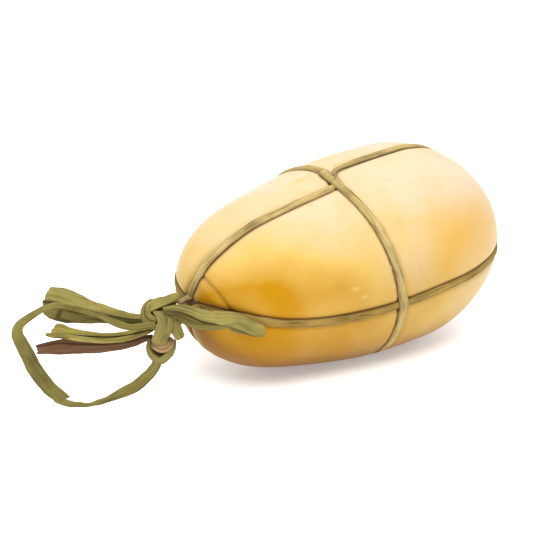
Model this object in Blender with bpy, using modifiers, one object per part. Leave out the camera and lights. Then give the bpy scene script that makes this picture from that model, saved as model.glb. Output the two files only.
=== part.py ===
"""Provola: a pear-shaped stretched-curd cheese tied up in strips of dried rush leaf.

The cheese lies on its side with its tied end towards -X. Two strands run lengthwise over
its rind, a third goes round its girth, and at the tied end they gather in a double knot
with four loose leaf ends and a loop to hang it by. Metres, +Z up, floor at z = 0.
"""

import math

import bmesh
import bpy
import numpy as np

# ---- the cheese -----------------------------------------------------------------------
WIDEST_RADIUS = 0.050      # radius at the widest ring
TIED_LENGTH = 0.11595      # widest ring to the tied pole
BROAD_LENGTH = 0.0627      # widest ring to the broad pole
TIED_POWER = 1.617         # how soon the radius falls on the way to the tied pole
TIED_FULLNESS = 2.713      # how blunt the tied end is
BROAD_POWER = 1.531
BROAD_FULLNESS = 2.004
SOFTNESS = 0.12            # rounds the profile off at its widest ring
SHOULDER_PLACE = -0.0996   # the fuller ring near the tied end
SHOULDER_REACH = 0.0225
SHOULDER_SHARE = 0.068
TILT = math.radians(4.5)   # the tied end lies lower, as the shape settles on its side
FLAT_DEPTH = 0.0010        # how far the rind is flattened where it rests
ORIGIN_TO_WIDEST = 0.0673  # the whole is centred, which puts the widest ring here along X
CENTRE_HEIGHT = 1.0201 * WIDEST_RADIUS - FLAT_DEPTH

# ---- the strands on the rind ----------------------------------------------------------
# Angles run round the cheese's axis from its top towards -Y. Each strand's angle is a
# polynomial in the distance along the axis, counted in widest radii. The top strand also
# steps aside where it is hitched to the girth strand, and so does the girth. It drops away
# past the broad shoulder, and by the tied pole it sags and turns off towards the knot.
STRAND_ANGLES = {
    "top": (0.137, -0.053, -0.040, -0.005),
    "near": (1.735, -0.061, 0.070, 0.059),
    "under": (3.310, -0.085, -0.035, 0.0),
    "far": (5.003, 0.012, 0.0, 0.0),
}
TOP_STEP = 0.242           # radians
TOP_STEP_PLACE = -0.77     # in widest radii, as the reach is
TOP_STEP_REACH = 0.07
TOP_DROP = 0.15
TOP_DROP_PLACE = 0.55
TOP_DROP_REACH = 0.10
TOP_TURN = 2.1             # radians, fading with the length from the tied pole
TOP_TURN_REACH = 0.004
TOP_SAG = 0.05
TOP_SAG_PLACE = 0.018
TOP_SAG_REACH = 0.010
GIRTH_PLACE = -0.763       # where the girth's plane crosses the axis, in widest radii
GIRTH_LEAN_UP = -0.154     # how far it leans along the axis for each radius upwards
GIRTH_LEAN_NEAR = 0.123    # and for each radius towards -Y
GIRTH_STEP = 0.10          # in widest radii
GIRTH_STEP_ANGLE = math.radians(12.0)
GIRTH_STEP_REACH = math.radians(5.0)
STRAND_WIDTH = 0.0042
STRAND_THICKNESS = 0.0018
PRESSED_THICKNESS = 0.0011  # where the cheese's weight lies on a strand
GROOVE_DEPTH = 0.0012      # how deep a strand has sunk into the rind
GROOVE_WIDTH = 0.0032
PRESSED_DEPTH = 0.0015     # more groove where the cheese rests on the strand
FURROW_SHARE = 1.2         # more groove towards the tied pole
FURROW_REACH = 0.026
POLE_LIFT = 0.0004         # the strands pass over the broad pole a little higher
LEAVE_ROW = 2              # the mesh ring where the strands lift off towards the knot
STRAND_PORTS = {           # where on the knot each strand arrives, from the knot's centre
    "top": (0.96, 0.18, 0.22),
    "near": (0.93, -0.36, -0.05),
    "under": (0.86, 0.10, -0.50),
    "far": (0.70, 0.55, 0.45),
}
GAP = 0.0003               # between pieces that touch
MM = 0.001

# ---- the rind's mesh ------------------------------------------------------------------
ROWS = 36                  # from the tied pole to the broad pole
GIRTH_ROW = 19
COLUMNS_PER_QUARTER = 15
COLUMNS = 4 * COLUMNS_PER_QUARTER
BAND_STEP = STRAND_WIDTH / 2   # the rind's lines beside a strand
BAND_EDGE = 0.0052

# ---- the knots ------------------------------------------------------------------------
# Places of knots and leaves count along X from the widest ring. A knot has its centre and
# half sizes, and the directions that each wrapped strip goes round.
UPPER_KNOT = (-0.1290, 0.0000, 0.0405)
UPPER_HALF = (0.0090, 0.0085, 0.0080)
UPPER_WRAPS = ((0.44, 0.70, 0.56), (0.02, -0.67, 0.75), (0.81, -0.59, 0.0))
LOWER_KNOT = (-0.1315, -0.0020, 0.0238)
LOWER_HALF = (0.0062, 0.0060, 0.0066)
LOWER_WRAPS = ((0.62, 0.77, 0.14), (0.81, -0.59, 0.0))
WRAP_RISE = 0.12           # height of a wrap, as a share of the knot's half size
WRAP_BREADTH = 0.27
WRAP_MARGIN = 0.0020       # clears the wraps' rise and leaves the gap

# ---- the leaf ends and the hanging loop -----------------------------------------------
# rows: x from the widest ring, y, z, width in mm, turn and cup in degrees
TAIL_FRONT = ((-128.4, -13.4, 43.4, 9.0, 80, -90), (-122.7, -18.6, 40.7, 11.0, 82, -100),
              (-117.5, -23.0, 40.0, 10.9, 84, -100), (-112.9, -28.5, 40.4, 10.1, 84, -100),
              (-107.8, -31.8, 38.7, 8.4, 86, -90), (-103.2, -33.5, 36.6, 7.3, 87, -80),
              (-99.7, -34.6, 35.2, 5.5, 88, -60))
TAIL_WIDE = ((-144.6, 6.0, 39.2, 6.3, 84, -70), (-152.9, 7.0, 42.2, 8.3, 84, -80),
             (-161.1, 8.0, 45.1, 11.5, 82, -90), (-169.4, 8.5, 48.6, 15.2, 80, -90),
             (-175.4, 8.5, 51.9, 15.4, 78, -85), (-180.0, 8.5, 53.9, 12.8, 78, -80),
             (-183.1, 8.5, 55.0, 8.9, 78, -70))
TAIL_SPLIT = ((-141.7, 0.0, 34.4, 4.0, 80, 70), (-149.3, 0.0, 34.6, 3.4, 80, 80),
              (-158.1, 0.0, 35.9, 3.0, 80, 90), (-164.9, 0.0, 37.7, 3.6, 80, 100),
              (-171.0, 0.0, 39.5, 4.4, 80, 105), (-176.6, 0.0, 41.5, 5.3, 80, 100),
              (-181.5, 0.3, 43.5, 7.0, 80, 90), (-186.4, 0.5, 44.0, 4.8, 80, 60))
TAIL_BROWN = ((-143.6, 3.2, 28.9, 4.6, 84, -55), (-152.9, 4.5, 29.1, 5.7, 84, -60),
              (-162.2, 5.5, 30.4, 6.5, 84, -60), (-175.2, 7.2, 32.6, 6.9, 84, -60),
              (-181.4, 8.0, 33.2, 5.4, 84, -55), (-187.6, 8.6, 33.5, 3.8, 84, -45))
HANGING_LOOP = ((-144.6, -6.0, 39.3, 2.6, 70, -20), (-149.6, -6.0, 39.9, 2.8, 70, -20),
                (-154.7, -5.7, 42.1, 3.4, 70, -25), (-159.2, -5.2, 44.7, 3.0, 70, -20),
                (-163.6, -4.7, 47.7, 2.6, 68, -20), (-172.2, -3.3, 51.8, 2.4, 65, -20),
                (-181.0, -1.6, 55.1, 2.4, 65, -20), (-184.7, -0.9, 55.2, 2.5, 64, -20),
                (-188.5, -0.2, 54.1, 2.6, 62, -20), (-195.6, 1.4, 50.4, 3.3, 60, -20),
                (-198.1, 2.2, 47.8, 4.1, 62, -22), (-198.1, 3.0, 44.3, 5.0, 68, -24),
                (-196.4, 3.8, 40.4, 5.6, 74, -26), (-192.8, 6.0, 33.3, 6.1, 80, -28),
                (-187.6, 9.0, 23.2, 6.5, 83, -30), (-181.7, 11.3, 14.5, 6.3, 84, -30),
                (-175.4, 11.5, 7.7, 5.1, 80, -25), (-171.5, 11.1, 4.0, 3.8, 66, -20),
                (-167.8, 10.2, 2.7, 3.2, 50, -20), (-164.2, 9.5, 1.8, 2.8, 42, -20),
                (-159.5, 8.8, 1.8, 3.7, 46, -20), (-153.4, 8.2, 2.7, 5.3, 58, -20),
                (-147.6, 7.5, 3.9, 6.2, 68, -24), (-141.8, 6.2, 5.8, 6.5, 76, -26),
                (-138.5, 5.2, 7.9, 6.8, 80, -30), (-135.7, 3.2, 11.0, 6.8, 80, -36))
LEAF_THICKNESS = 0.0008
LEAF_STATIONS = 15
LEAF_LINES = 7
LOOP_STATIONS = 45
LOOP_LINES = 4
LEAF_FLOOR = 0.0004        # a leaf's sheet stays this far above the floor, and its
                           # thickness is added on the other side

ORIGIN_NAME = "widest_ring"

COLOURS = {                # linear colour and roughness of each kind of piece
    "rind": ((0.760, 0.510, 0.140), 0.38),
    "strand": ((0.300, 0.255, 0.085), 0.70),
    "green_leaf": ((0.360, 0.340, 0.120), 0.70),
    "yellow_leaf": ((0.440, 0.380, 0.090), 0.70),
    "brown_leaf": ((0.210, 0.105, 0.060), 0.75),
}


def unit(vectors):
    """The vectors at length one, along the last axis."""
    vectors = np.asarray(vectors, dtype=float)
    return vectors / np.linalg.norm(vectors, axis=-1, keepdims=True)


AXIS = np.array([math.cos(TILT), 0.0, math.sin(TILT)])
UPWARDS = np.array([-math.sin(TILT), 0.0, math.cos(TILT)])
NEAR = np.array([0.0, -1.0, 0.0])
CENTRE = np.array([0.0, 0.0, CENTRE_HEIGHT])


# ---- the rind's shape -----------------------------------------------------------------

def taper(distance, length, power, fullness):
    """Share of the widest radius at a distance from the widest ring: a softened superellipse."""
    share = np.sqrt((distance / length) ** 2 + SOFTNESS ** 2) - SOFTNESS
    share = share / (math.sqrt(1.0 + SOFTNESS ** 2) - SOFTNESS)
    return np.clip(1.0 - share ** power, 0.0, None) ** (1.0 / fullness)


def profile():
    """The rind's outline from the tied pole to the broad pole, as even steps along it.

    Gives the length along the outline, the place along the axis, the radius, and the
    outward normal's share along the axis and away from it.
    """
    spread = np.linspace(0.0, 1.0, 4001)
    tied = -TIED_LENGTH * (1.0 - spread ** 3)
    broad = BROAD_LENGTH * (1.0 - (1.0 - spread[1:]) ** 3)
    place = np.concatenate([tied, broad])
    radius = np.concatenate([
        taper(-tied, TIED_LENGTH, TIED_POWER, TIED_FULLNESS),
        taper(broad, BROAD_LENGTH, BROAD_POWER, BROAD_FULLNESS)])
    shoulder = np.exp(-((place - SHOULDER_PLACE) / SHOULDER_REACH) ** 2)
    radius = WIDEST_RADIUS * radius * (1.0 + SHOULDER_SHARE * shoulder)
    steps = np.hypot(np.diff(place), np.diff(radius))
    length = np.concatenate([[0.0], np.cumsum(steps)])
    even = np.linspace(0.0, length[-1], 1601)
    place = np.interp(even, length, place)
    radius = np.interp(even, length, radius)
    along = unit(np.stack([np.gradient(place, even), np.gradient(radius, even)], axis=-1))
    return even, place, radius, -along[:, 1], along[:, 0]


LENGTH, PLACE, RADIUS, NORMAL_ALONG, NORMAL_OUT = profile()


def step_up(distance):
    """A smooth step from 0 to 1: one over one plus exp(-distance)."""
    return 1.0 / (1.0 + np.exp(-np.clip(distance, -40.0, 40.0)))


def wrapped(angle):
    """The angle brought between minus and plus half a turn."""
    return (angle + math.pi) % (2.0 * math.pi) - math.pi


def strand_angle(strand, length):
    """Angle of a lengthwise strand at a length along the outline from the tied pole."""
    steps = np.interp(length, LENGTH, PLACE) / WIDEST_RADIUS
    angle = sum(factor * steps ** power for power, factor in enumerate(STRAND_ANGLES[strand]))
    if strand == "top":
        angle = angle + TOP_STEP * step_up((TOP_STEP_PLACE - steps) / TOP_STEP_REACH)
        angle = angle - TOP_DROP * step_up((steps - TOP_DROP_PLACE) / TOP_DROP_REACH)
        angle = angle - TOP_TURN * np.exp(-length / TOP_TURN_REACH)
        angle = angle - TOP_SAG * np.exp(-((length - TOP_SAG_PLACE) / TOP_SAG_REACH) ** 2)
    return angle


def girth_length(angle):
    """Where the girth strand lies on the outline, at an angle round the axis.

    It lies in a leaning plane, which the hitch on the top strand pushes aside.
    """
    aside = GIRTH_STEP * step_up((GIRTH_STEP_ANGLE - wrapped(angle)) / GIRTH_STEP_REACH)
    start = (GIRTH_PLACE + 0.5 * aside * (1.0 + np.cos(angle))) * WIDEST_RADIUS
    place = start
    for _ in range(4):
        radius = np.interp(place, PLACE, RADIUS)
        lean = GIRTH_LEAN_UP * np.cos(angle) + GIRTH_LEAN_NEAR * np.sin(angle)
        place = start + lean * radius
    return np.interp(place, PLACE, LENGTH)


def directions(angle):
    """Unit vectors away from the axis, at angles round it."""
    angle = np.asarray(angle)[..., None]
    return np.cos(angle) * UPWARDS + np.sin(angle) * NEAR


def pressed(length, angle):
    """How much of the cheese's weight lies on the rind there: 1 straight underneath."""
    along = np.interp(length, LENGTH, NORMAL_ALONG)
    out = np.interp(length, LENGTH, NORMAL_OUT)
    downwards = -(along * AXIS[2] + out * directions(angle)[..., 2])
    return np.clip(downwards, 0.0, None) ** 12


def groove(length, angle):
    """Depth of the grooves that the strands have pressed into the rind."""
    radius = np.interp(length, LENGTH, RADIUS)
    clear = np.ones(np.shape(length))
    for strand in STRAND_ANGLES:
        aside = radius * wrapped(angle - strand_angle(strand, length))
        clear = clear * (1.0 - np.exp(-(aside / GROOVE_WIDTH) ** 2))
    lengthwise = 1.0 - clear
    girth = np.exp(-((length - girth_length(angle)) / GROOVE_WIDTH) ** 2)
    depth = GROOVE_DEPTH + PRESSED_DEPTH * pressed(length, angle)
    furrow = 1.0 + FURROW_SHARE * np.exp(-(length / FURROW_REACH) ** 2)
    return depth * (lengthwise * furrow + girth)


def rind_point(length, angle, lift=0.0):
    """Points over the rind: a place on the outline, turned about the axis and raised."""
    radius = np.interp(length, LENGTH, RADIUS)[..., None]
    place = np.interp(length, LENGTH, PLACE)[..., None]
    outwards = directions(angle)
    normal = (np.interp(length, LENGTH, NORMAL_ALONG)[..., None] * AXIS
              + np.interp(length, LENGTH, NORMAL_OUT)[..., None] * outwards)
    rise = (lift - groove(length, angle))[..., None]
    return CENTRE + place * AXIS + radius * outwards + rise * normal


def laid_on_rind(points, lift):
    """The points moved to the nearest place on the rind, and raised from it."""
    local = np.asarray(points) - CENTRE
    place = local @ AXIS
    up = local @ UPWARDS
    near = local @ NEAR
    radius = np.hypot(up, near)
    apart = (place[..., None] - PLACE) ** 2 + (radius[..., None] - RADIUS) ** 2
    length = LENGTH[np.argmin(apart, axis=-1)]
    return rind_point(length, np.arctan2(near, up), lift)


# ---- lines of the rind's mesh, which keep to the strands --------------------------------

def column_angle(column, length):
    """Angle of a mesh line: the lines beside each strand keep their distance from it."""
    radius = np.maximum(np.interp(length, LENGTH, RADIUS), 0.002)
    strands = [strand_angle(strand, length) for strand in STRAND_ANGLES]
    strands.append(strands[0] + 2.0 * math.pi)
    quarter = np.floor_divide(column, COLUMNS_PER_QUARTER).astype(int)
    step = column - quarter * COLUMNS_PER_QUARTER
    start = np.choose(quarter, strands[:-1])
    sweep = np.choose(quarter, strands[1:]) - start
    even = sweep / COLUMNS_PER_QUARTER
    beside = np.minimum(BAND_STEP / radius, even)
    edge = np.minimum(BAND_EDGE / radius, 2.0 * even)
    middle = edge + (step - 2.0) * (sweep - 2.0 * edge) / (COLUMNS_PER_QUARTER - 4.0)
    turn = np.where(step == 0, 0.0, middle)
    turn = np.where(step == 1, beside, turn)
    turn = np.where(step == COLUMNS_PER_QUARTER - 1, sweep - beside, turn)
    return start + turn


def row_length(row, angle):
    """Place of a mesh ring on the outline: the rings beside the girth strand follow it."""
    girth = girth_length(angle)
    tied = row * (girth - BAND_EDGE) / (GIRTH_ROW - 2.0)
    broad_steps = ROWS - GIRTH_ROW - 2.0
    broad_start = girth + BAND_EDGE
    broad = broad_start + (row - GIRTH_ROW - 2.0) * (LENGTH[-1] - broad_start) / broad_steps
    length = np.where(row < GIRTH_ROW, tied, broad)
    return np.where(np.abs(row - GIRTH_ROW) <= 1, girth + (row - GIRTH_ROW) * BAND_STEP, length)


def mesh_place(row, column):
    """Outline length and angle of the rind's mesh lines, where rows and columns cross."""
    angle = column * 2.0 * math.pi / COLUMNS
    for _ in range(4):
        length = row_length(row, angle)
        angle = column_angle(column, length)
    return length, angle


# ---- objects --------------------------------------------------------------------------

def clear_scene():
    """Remove the objects that the file opens with."""
    for old in list(bpy.data.objects):
        bpy.data.objects.remove(old)


def material(kind):
    """A Principled material for a kind of piece, made once."""
    found = bpy.data.materials.get(kind)
    if found:
        return found
    colour, roughness = COLOURS[kind]
    made = bpy.data.materials.new(kind)
    made.use_nodes = True
    shader = made.node_tree.nodes["Principled BSDF"]
    shader.inputs["Base Color"].default_value = (*colour, 1.0)
    shader.inputs["Roughness"].default_value = roughness
    shader.inputs["Metallic"].default_value = 0.0
    return made


def add_origin(collection):
    """The empty that every piece hangs on: it stands at the widest ring's place."""
    origin = bpy.data.objects.new(ORIGIN_NAME, None)
    origin.location = (ORIGIN_TO_WIDEST, 0.0, 0.0)
    collection.objects.link(origin)


def add_object(name, mesh, kind, collection):
    """Put a mesh in the collection as a smooth object with its material."""
    mesh.materials.append(material(kind))
    mesh.shade_smooth()
    made = bpy.data.objects.new(name, mesh)
    made.parent = bpy.data.objects[ORIGIN_NAME]
    collection.objects.link(made)
    return made


def mesh_from(name, points, faces):
    """A mesh of the points and faces, with its faces pointing out."""
    mesh = bpy.data.meshes.new(name)
    mesh.from_pydata([tuple(point) for point in points], [], faces)
    shape = bmesh.new()
    shape.from_mesh(mesh)
    bmesh.ops.recalc_face_normals(shape, faces=shape.faces[:])
    shape.to_mesh(mesh)
    shape.free()
    return mesh


def grid_faces(stations, lines):
    """Four-sided faces of a grid of stations by lines, open at all its sides."""
    corners = np.arange(stations * lines).reshape(stations, lines)
    quads = np.stack([corners[:-1, :-1], corners[:-1, 1:], corners[1:, 1:], corners[1:, :-1]], -1)
    return quads.reshape(-1, 4).tolist()


def ring_faces(stations, corners, closed):
    """Faces of a loft of rings: its sides, and an end cap each, or none when it closes."""
    index = np.arange(stations * corners).reshape(stations, corners)
    if closed:
        index = np.vstack([index, index[:1]])
    after = np.roll(index, -1, axis=1)
    sides = np.stack([index[:-1], after[:-1], after[1:], index[1:]], -1).reshape(-1, 4).tolist()
    if closed:
        return sides
    return sides + [index[0].tolist(), index[-1].tolist()]


def make_cheese(collection):
    """The cheese: a sphere whose mesh lines are moved to the rind, flat where it rests."""
    shape = bmesh.new()
    bmesh.ops.create_uvsphere(shape, u_segments=COLUMNS, v_segments=ROWS, radius=1.0)
    shape.verts.ensure_lookup_table()
    sphere = np.array([vertex.co[:] for vertex in shape.verts])
    latitude = np.arccos(np.clip(sphere[:, 2], -1.0, 1.0))
    longitude = np.arctan2(sphere[:, 1], sphere[:, 0])
    row = ROWS - np.round(latitude * ROWS / math.pi)
    column = np.round(longitude * COLUMNS / (2.0 * math.pi)) % COLUMNS
    points = rind_point(*mesh_place(row, column))
    points[:, 2] = np.maximum(points[:, 2], 0.0)
    for vertex, point in zip(shape.verts, points):
        vertex.co = point
    mesh = bpy.data.meshes.new("cheese")
    shape.to_mesh(mesh)
    shape.free()
    add_object("cheese", mesh, "rind", collection)


# ---- the strands ----------------------------------------------------------------------

def strand_section(thickness):
    """A flattened strand's outline: shares of its width, and heights over the rind."""
    flat = np.zeros_like(thickness)
    aside = np.array([-0.5, 0.0, 0.5, 0.36, 0.0, -0.36])
    heights = np.stack([flat, flat, flat, 0.7 * thickness, thickness, 0.7 * thickness], -1)
    return aside, heights + GAP


def knot_port(centre, half, towards):
    """The point just outside a knot in a direction, where a piece can start."""
    towards = unit(towards)
    reach = np.linalg.norm(np.array(half) * towards) + WRAP_MARGIN
    return np.array(centre) + reach * towards


def lengthwise_path(first, second):
    """Middle line of a strand that goes out under one name and comes back under another."""
    names = list(STRAND_ANGLES)
    rows = np.arange(LEAVE_ROW, ROWS)
    lines = []
    for strand in (first, second):
        column = np.full(rows.shape, float(names.index(strand) * COLUMNS_PER_QUARTER))
        lines.append(mesh_place(rows, column))
    length = np.concatenate([lines[0][0], [LENGTH[-1]], lines[1][0][::-1]])
    angle = np.concatenate([lines[0][1], [lines[0][1][-1]], lines[1][1][::-1]])
    return length, angle


def make_lengthwise(name, first, second, pole_lift, collection):
    """A strand from the knot along the rind, over the broad pole and back to the knot."""
    length, angle = lengthwise_path(first, second)
    middle = rind_point(length, angle)
    along = unit(np.gradient(middle, axis=0))
    radial = directions(angle)
    normal = (np.interp(length, LENGTH, NORMAL_ALONG)[:, None] * AXIS
              + np.interp(length, LENGTH, NORMAL_OUT)[:, None] * radial)
    across = unit(np.cross(normal, along))
    weight = pressed(length, angle)
    thickness = STRAND_THICKNESS + (PRESSED_THICKNESS - STRAND_THICKNESS) * weight
    aside, heights = strand_section(thickness)
    from_pole = (LENGTH[-1] - length) / (1.5 * STRAND_WIDTH)
    heights = heights + (pole_lift * np.exp(-from_pole ** 4))[:, None]
    spread = middle[:, None, :] + (aside * STRAND_WIDTH)[None, :, None] * across[:, None, :]
    rings = laid_on_rind(spread, heights)
    ends = []
    for end, strand in ((0, first), (-1, second)):
        offsets = rings[end] - middle[end]
        port = knot_port(UPPER_KNOT, UPPER_HALF, STRAND_PORTS[strand])
        ends.append(port + 0.8 * offsets - 0.8 * offsets.mean(axis=0))
    rings = np.concatenate([ends[0][None], rings, ends[1][None]])
    rings[..., 2] = np.maximum(rings[..., 2], GAP)
    points = rings.reshape(-1, 3)
    faces = ring_faces(len(rings), len(aside), closed=False)
    add_object(name, mesh_from(name, points, faces), "strand", collection)


def make_girth(collection):
    """The strand round the girth, which passes over the lengthwise ones."""
    columns = np.arange(COLUMNS, dtype=float)
    length, angle = mesh_place(np.full(columns.shape, float(GIRTH_ROW)), columns)
    middle = rind_point(length, angle)
    along = unit(np.roll(middle, -1, axis=0) - np.roll(middle, 1, axis=0))
    across = unit(np.cross(along, directions(angle)))
    weight = pressed(length, angle)
    thickness = STRAND_THICKNESS + (PRESSED_THICKNESS - STRAND_THICKNESS) * weight
    aside, heights = strand_section(thickness)
    from_strand = np.abs((columns + COLUMNS_PER_QUARTER / 2) % COLUMNS_PER_QUARTER
                         - COLUMNS_PER_QUARTER / 2)
    bridge = np.select([from_strand <= 1, from_strand <= 2], [1.0, 0.55], 0.0)
    heights = heights + (bridge * (thickness + GAP))[:, None]
    spread = middle[:, None, :] + (aside * STRAND_WIDTH)[None, :, None] * across[:, None, :]
    rings = laid_on_rind(spread, heights)
    rings[..., 2] = np.maximum(rings[..., 2], GAP)
    faces = ring_faces(COLUMNS, len(aside), closed=True)
    add_object("girth", mesh_from("girth", rings.reshape(-1, 3), faces), "strand", collection)


# ---- the knots ------------------------------------------------------------------------

def make_knot(name, centre, half, wraps, collection):
    """A knot: a rounded core with a raised band where each strip goes round it."""
    shape = bmesh.new()
    bmesh.ops.create_uvsphere(shape, u_segments=32, v_segments=20, radius=1.0)
    for vertex in shape.verts:
        outwards = np.array(vertex.co[:])
        rise = max(math.exp(-(float(outwards @ unit(wrap)) / WRAP_BREADTH) ** 4)
                   for wrap in wraps)
        vertex.co = np.array(centre) + np.array(half) * outwards * (1.0 + WRAP_RISE * rise)
    mesh = bpy.data.meshes.new(name)
    shape.to_mesh(mesh)
    shape.free()
    add_object(name, mesh, "green_leaf", collection)


# ---- leaves ---------------------------------------------------------------------------

def smooth_rows(rows, stations):
    """Rows read at even lengths on a Catmull-Rom curve through the given ones.

    The first three columns are the place; the others, such as widths, follow along.
    """
    rows = np.array(rows, dtype=float)
    padded = np.vstack([2.0 * rows[0] - rows[1], rows, 2.0 * rows[-1] - rows[-2]])
    share = np.linspace(0.0, 1.0, 16, endpoint=False)[:, None]
    pieces = []
    for before, start, end, after in zip(padded, padded[1:], padded[2:], padded[3:]):
        pieces.append(0.5 * (2.0 * start + (end - before) * share
                             + (2.0 * before - 5.0 * start + 4.0 * end - after) * share ** 2
                             + (3.0 * start - before - 3.0 * end + after) * share ** 3))
    dense = np.vstack(pieces + [rows[-1:]])
    steps = np.linalg.norm(np.diff(dense[:, :3], axis=0), axis=1)
    length = np.concatenate([[0.0], np.cumsum(steps)])
    even = np.linspace(0.0, length[-1], stations)
    return np.stack([np.interp(even, length, column) for column in dense.T], axis=-1)


def leaf_sheet(rows, wave, stations, lines):
    """A leaf's sheet: across each point of its route goes an arc of the leaf's width.

    Each row has the place from the widest ring, the width in mm, and the turn and the cup
    in degrees. A turn of 0 lays the leaf flat and 90 stands it on edge. The cup is the
    arc's angle, and the wave a ripple that grows towards the leaf's two edges.
    """
    rows = np.array(rows, dtype=float) * (MM, MM, MM, MM, 1.0, 1.0)
    fine = smooth_rows(rows, stations)
    path, width = fine[:, :3], fine[:, 3:4]
    turn, bend = np.radians(fine[:, 4:5]), np.radians(fine[:, 5:6])
    along = unit(np.gradient(path, axis=0))
    depth_way = np.array([0.0, 1.0, 0.0])
    side = unit(depth_way - (along @ depth_way)[:, None] * along)
    rising = np.cross(side, along)
    across = np.cos(turn) * side + np.sin(turn) * rising
    face = np.cross(along, across)
    aside = np.linspace(-0.5, 0.5, lines)[None, :]
    arc = bend * aside
    share = np.linspace(0.0, 1.0, stations)[:, None]
    ripple = wave * np.sin(5.0 * math.pi * share) * 2.0 * aside
    over = width * np.sin(arc) / bend
    raised = width * (np.cos(arc) - 1.0) / bend + ripple
    sheet = path[:, None, :] + over[..., None] * across[:, None, :]
    return sheet + raised[..., None] * face[:, None, :]


def make_leaf(name, sheet, kind, collection):
    """A leaf of even thickness: both faces are split into the same triangles."""
    stations, lines = sheet.shape[:2]
    points = sheet.reshape(-1, 3)
    points[:, 2] = np.maximum(points[:, 2], LEAF_FLOOR)
    mesh = mesh_from(name, points, grid_faces(stations, lines))
    shape = bmesh.new()
    shape.from_mesh(mesh)
    bmesh.ops.triangulate(shape, faces=shape.faces[:])
    shape.to_mesh(mesh)
    shape.free()
    made = add_object(name, mesh, kind, collection)
    shell = made.modifiers.new("thickness", "SOLIDIFY")
    shell.thickness = LEAF_THICKNESS
    shell.offset = 0.0
    return made


def port_row(centre, half, towards, width, turn, cup):
    """A leaf's first row: where it comes out of a knot."""
    return (*(knot_port(centre, half, towards) / MM), width, turn, cup)


def make_leaves(collection):
    """The four loose ends of the tie."""
    upper, lower = (UPPER_KNOT, UPPER_HALF), (LOWER_KNOT, LOWER_HALF)
    front = [port_row(*upper, (-0.42, -0.90, 0.30), 2.6, 80, -50), *TAIL_FRONT]
    make_leaf("tail_front", leaf_sheet(front, 0.0004, LEAF_STATIONS, LEAF_LINES),
              "green_leaf", collection)
    wide = [port_row(*upper, (-1.0, 0.33, -0.20), 4.0, 84, -60), *TAIL_WIDE]
    make_leaf("tail_wide", leaf_sheet(wide, 0.0006, LEAF_STATIONS, LEAF_LINES),
              "green_leaf", collection)
    split = [port_row(*upper, (-0.86, -0.10, -0.50), 2.2, 80, 70), *TAIL_SPLIT]
    make_leaf("tail_split", leaf_sheet(split, 0.0004, LEAF_STATIONS, LEAF_LINES),
              "yellow_leaf", collection)
    brown = [port_row(*lower, (-0.80, 0.38, 0.55), 2.4, 84, -45), *TAIL_BROWN]
    make_leaf("tail_brown", leaf_sheet(brown, 0.0003, LEAF_STATIONS, LEAF_LINES),
              "brown_leaf", collection)


def make_loop(collection):
    """The loop that the cheese hangs by: out of the upper knot and back into the lower."""
    rows = [port_row(UPPER_KNOT, UPPER_HALF, (-0.92, -0.36, -0.20), 2.8, 70, -20), *HANGING_LOOP,
            port_row(LOWER_KNOT, LOWER_HALF, (-0.30, 0.05, -0.95), 4.2, 80, -40)]
    sheet = leaf_sheet(rows, 0.0002, LOOP_STATIONS, LOOP_LINES)
    make_leaf("hanging_loop", sheet, "green_leaf", collection)


def main():
    clear_scene()
    parts = bpy.data.collections.new("provola")
    bpy.context.scene.collection.children.link(parts)
    add_origin(parts)
    make_cheese(parts)
    make_lengthwise("strand_top_under", "top", "under", POLE_LIFT, parts)
    make_lengthwise("strand_near_far", "near", "far", POLE_LIFT + STRAND_THICKNESS + GAP, parts)
    make_girth(parts)
    make_knot("knot_upper", UPPER_KNOT, UPPER_HALF, UPPER_WRAPS, parts)
    make_knot("knot_lower", LOWER_KNOT, LOWER_HALF, LOWER_WRAPS, parts)
    make_leaves(parts)
    make_loop(parts)


main()
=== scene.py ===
"""Provola in a rush tie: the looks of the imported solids.

The file is laid out as an add-on and run as a script. Lengths are metres, +Z is up, and the
cheese lies along X with its tied end towards -X. Every piece is a grid of points worked out
with numpy and stands for the solid of the same name.
"""

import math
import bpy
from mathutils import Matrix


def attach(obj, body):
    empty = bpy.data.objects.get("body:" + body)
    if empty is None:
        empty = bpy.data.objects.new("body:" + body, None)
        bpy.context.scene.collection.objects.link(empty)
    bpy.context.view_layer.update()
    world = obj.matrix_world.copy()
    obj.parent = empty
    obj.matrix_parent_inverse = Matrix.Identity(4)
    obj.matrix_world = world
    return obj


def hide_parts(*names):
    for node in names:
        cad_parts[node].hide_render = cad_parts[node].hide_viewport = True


bl_info = {
    "name": "Provola in a Rush Tie",
    "version": (1, 0, 0),
    "blender": (4, 5, 0),
    "location": "View3D > Sidebar > Provola",
    "description": "Dresses a pear-shaped stretched-curd cheese and the knotted leaf it hangs by",
    "category": "Add Mesh",
}

import bpy
import numpy as np
from bpy.props import FloatProperty, FloatVectorProperty, PointerProperty
from mathutils import Vector

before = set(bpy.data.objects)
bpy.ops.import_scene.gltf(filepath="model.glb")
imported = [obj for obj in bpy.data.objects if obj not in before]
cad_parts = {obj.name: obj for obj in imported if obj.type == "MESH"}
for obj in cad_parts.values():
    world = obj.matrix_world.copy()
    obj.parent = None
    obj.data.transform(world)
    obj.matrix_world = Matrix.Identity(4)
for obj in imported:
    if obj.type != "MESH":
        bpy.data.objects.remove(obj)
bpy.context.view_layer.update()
BODY = "root"
MM = 0.001

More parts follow.
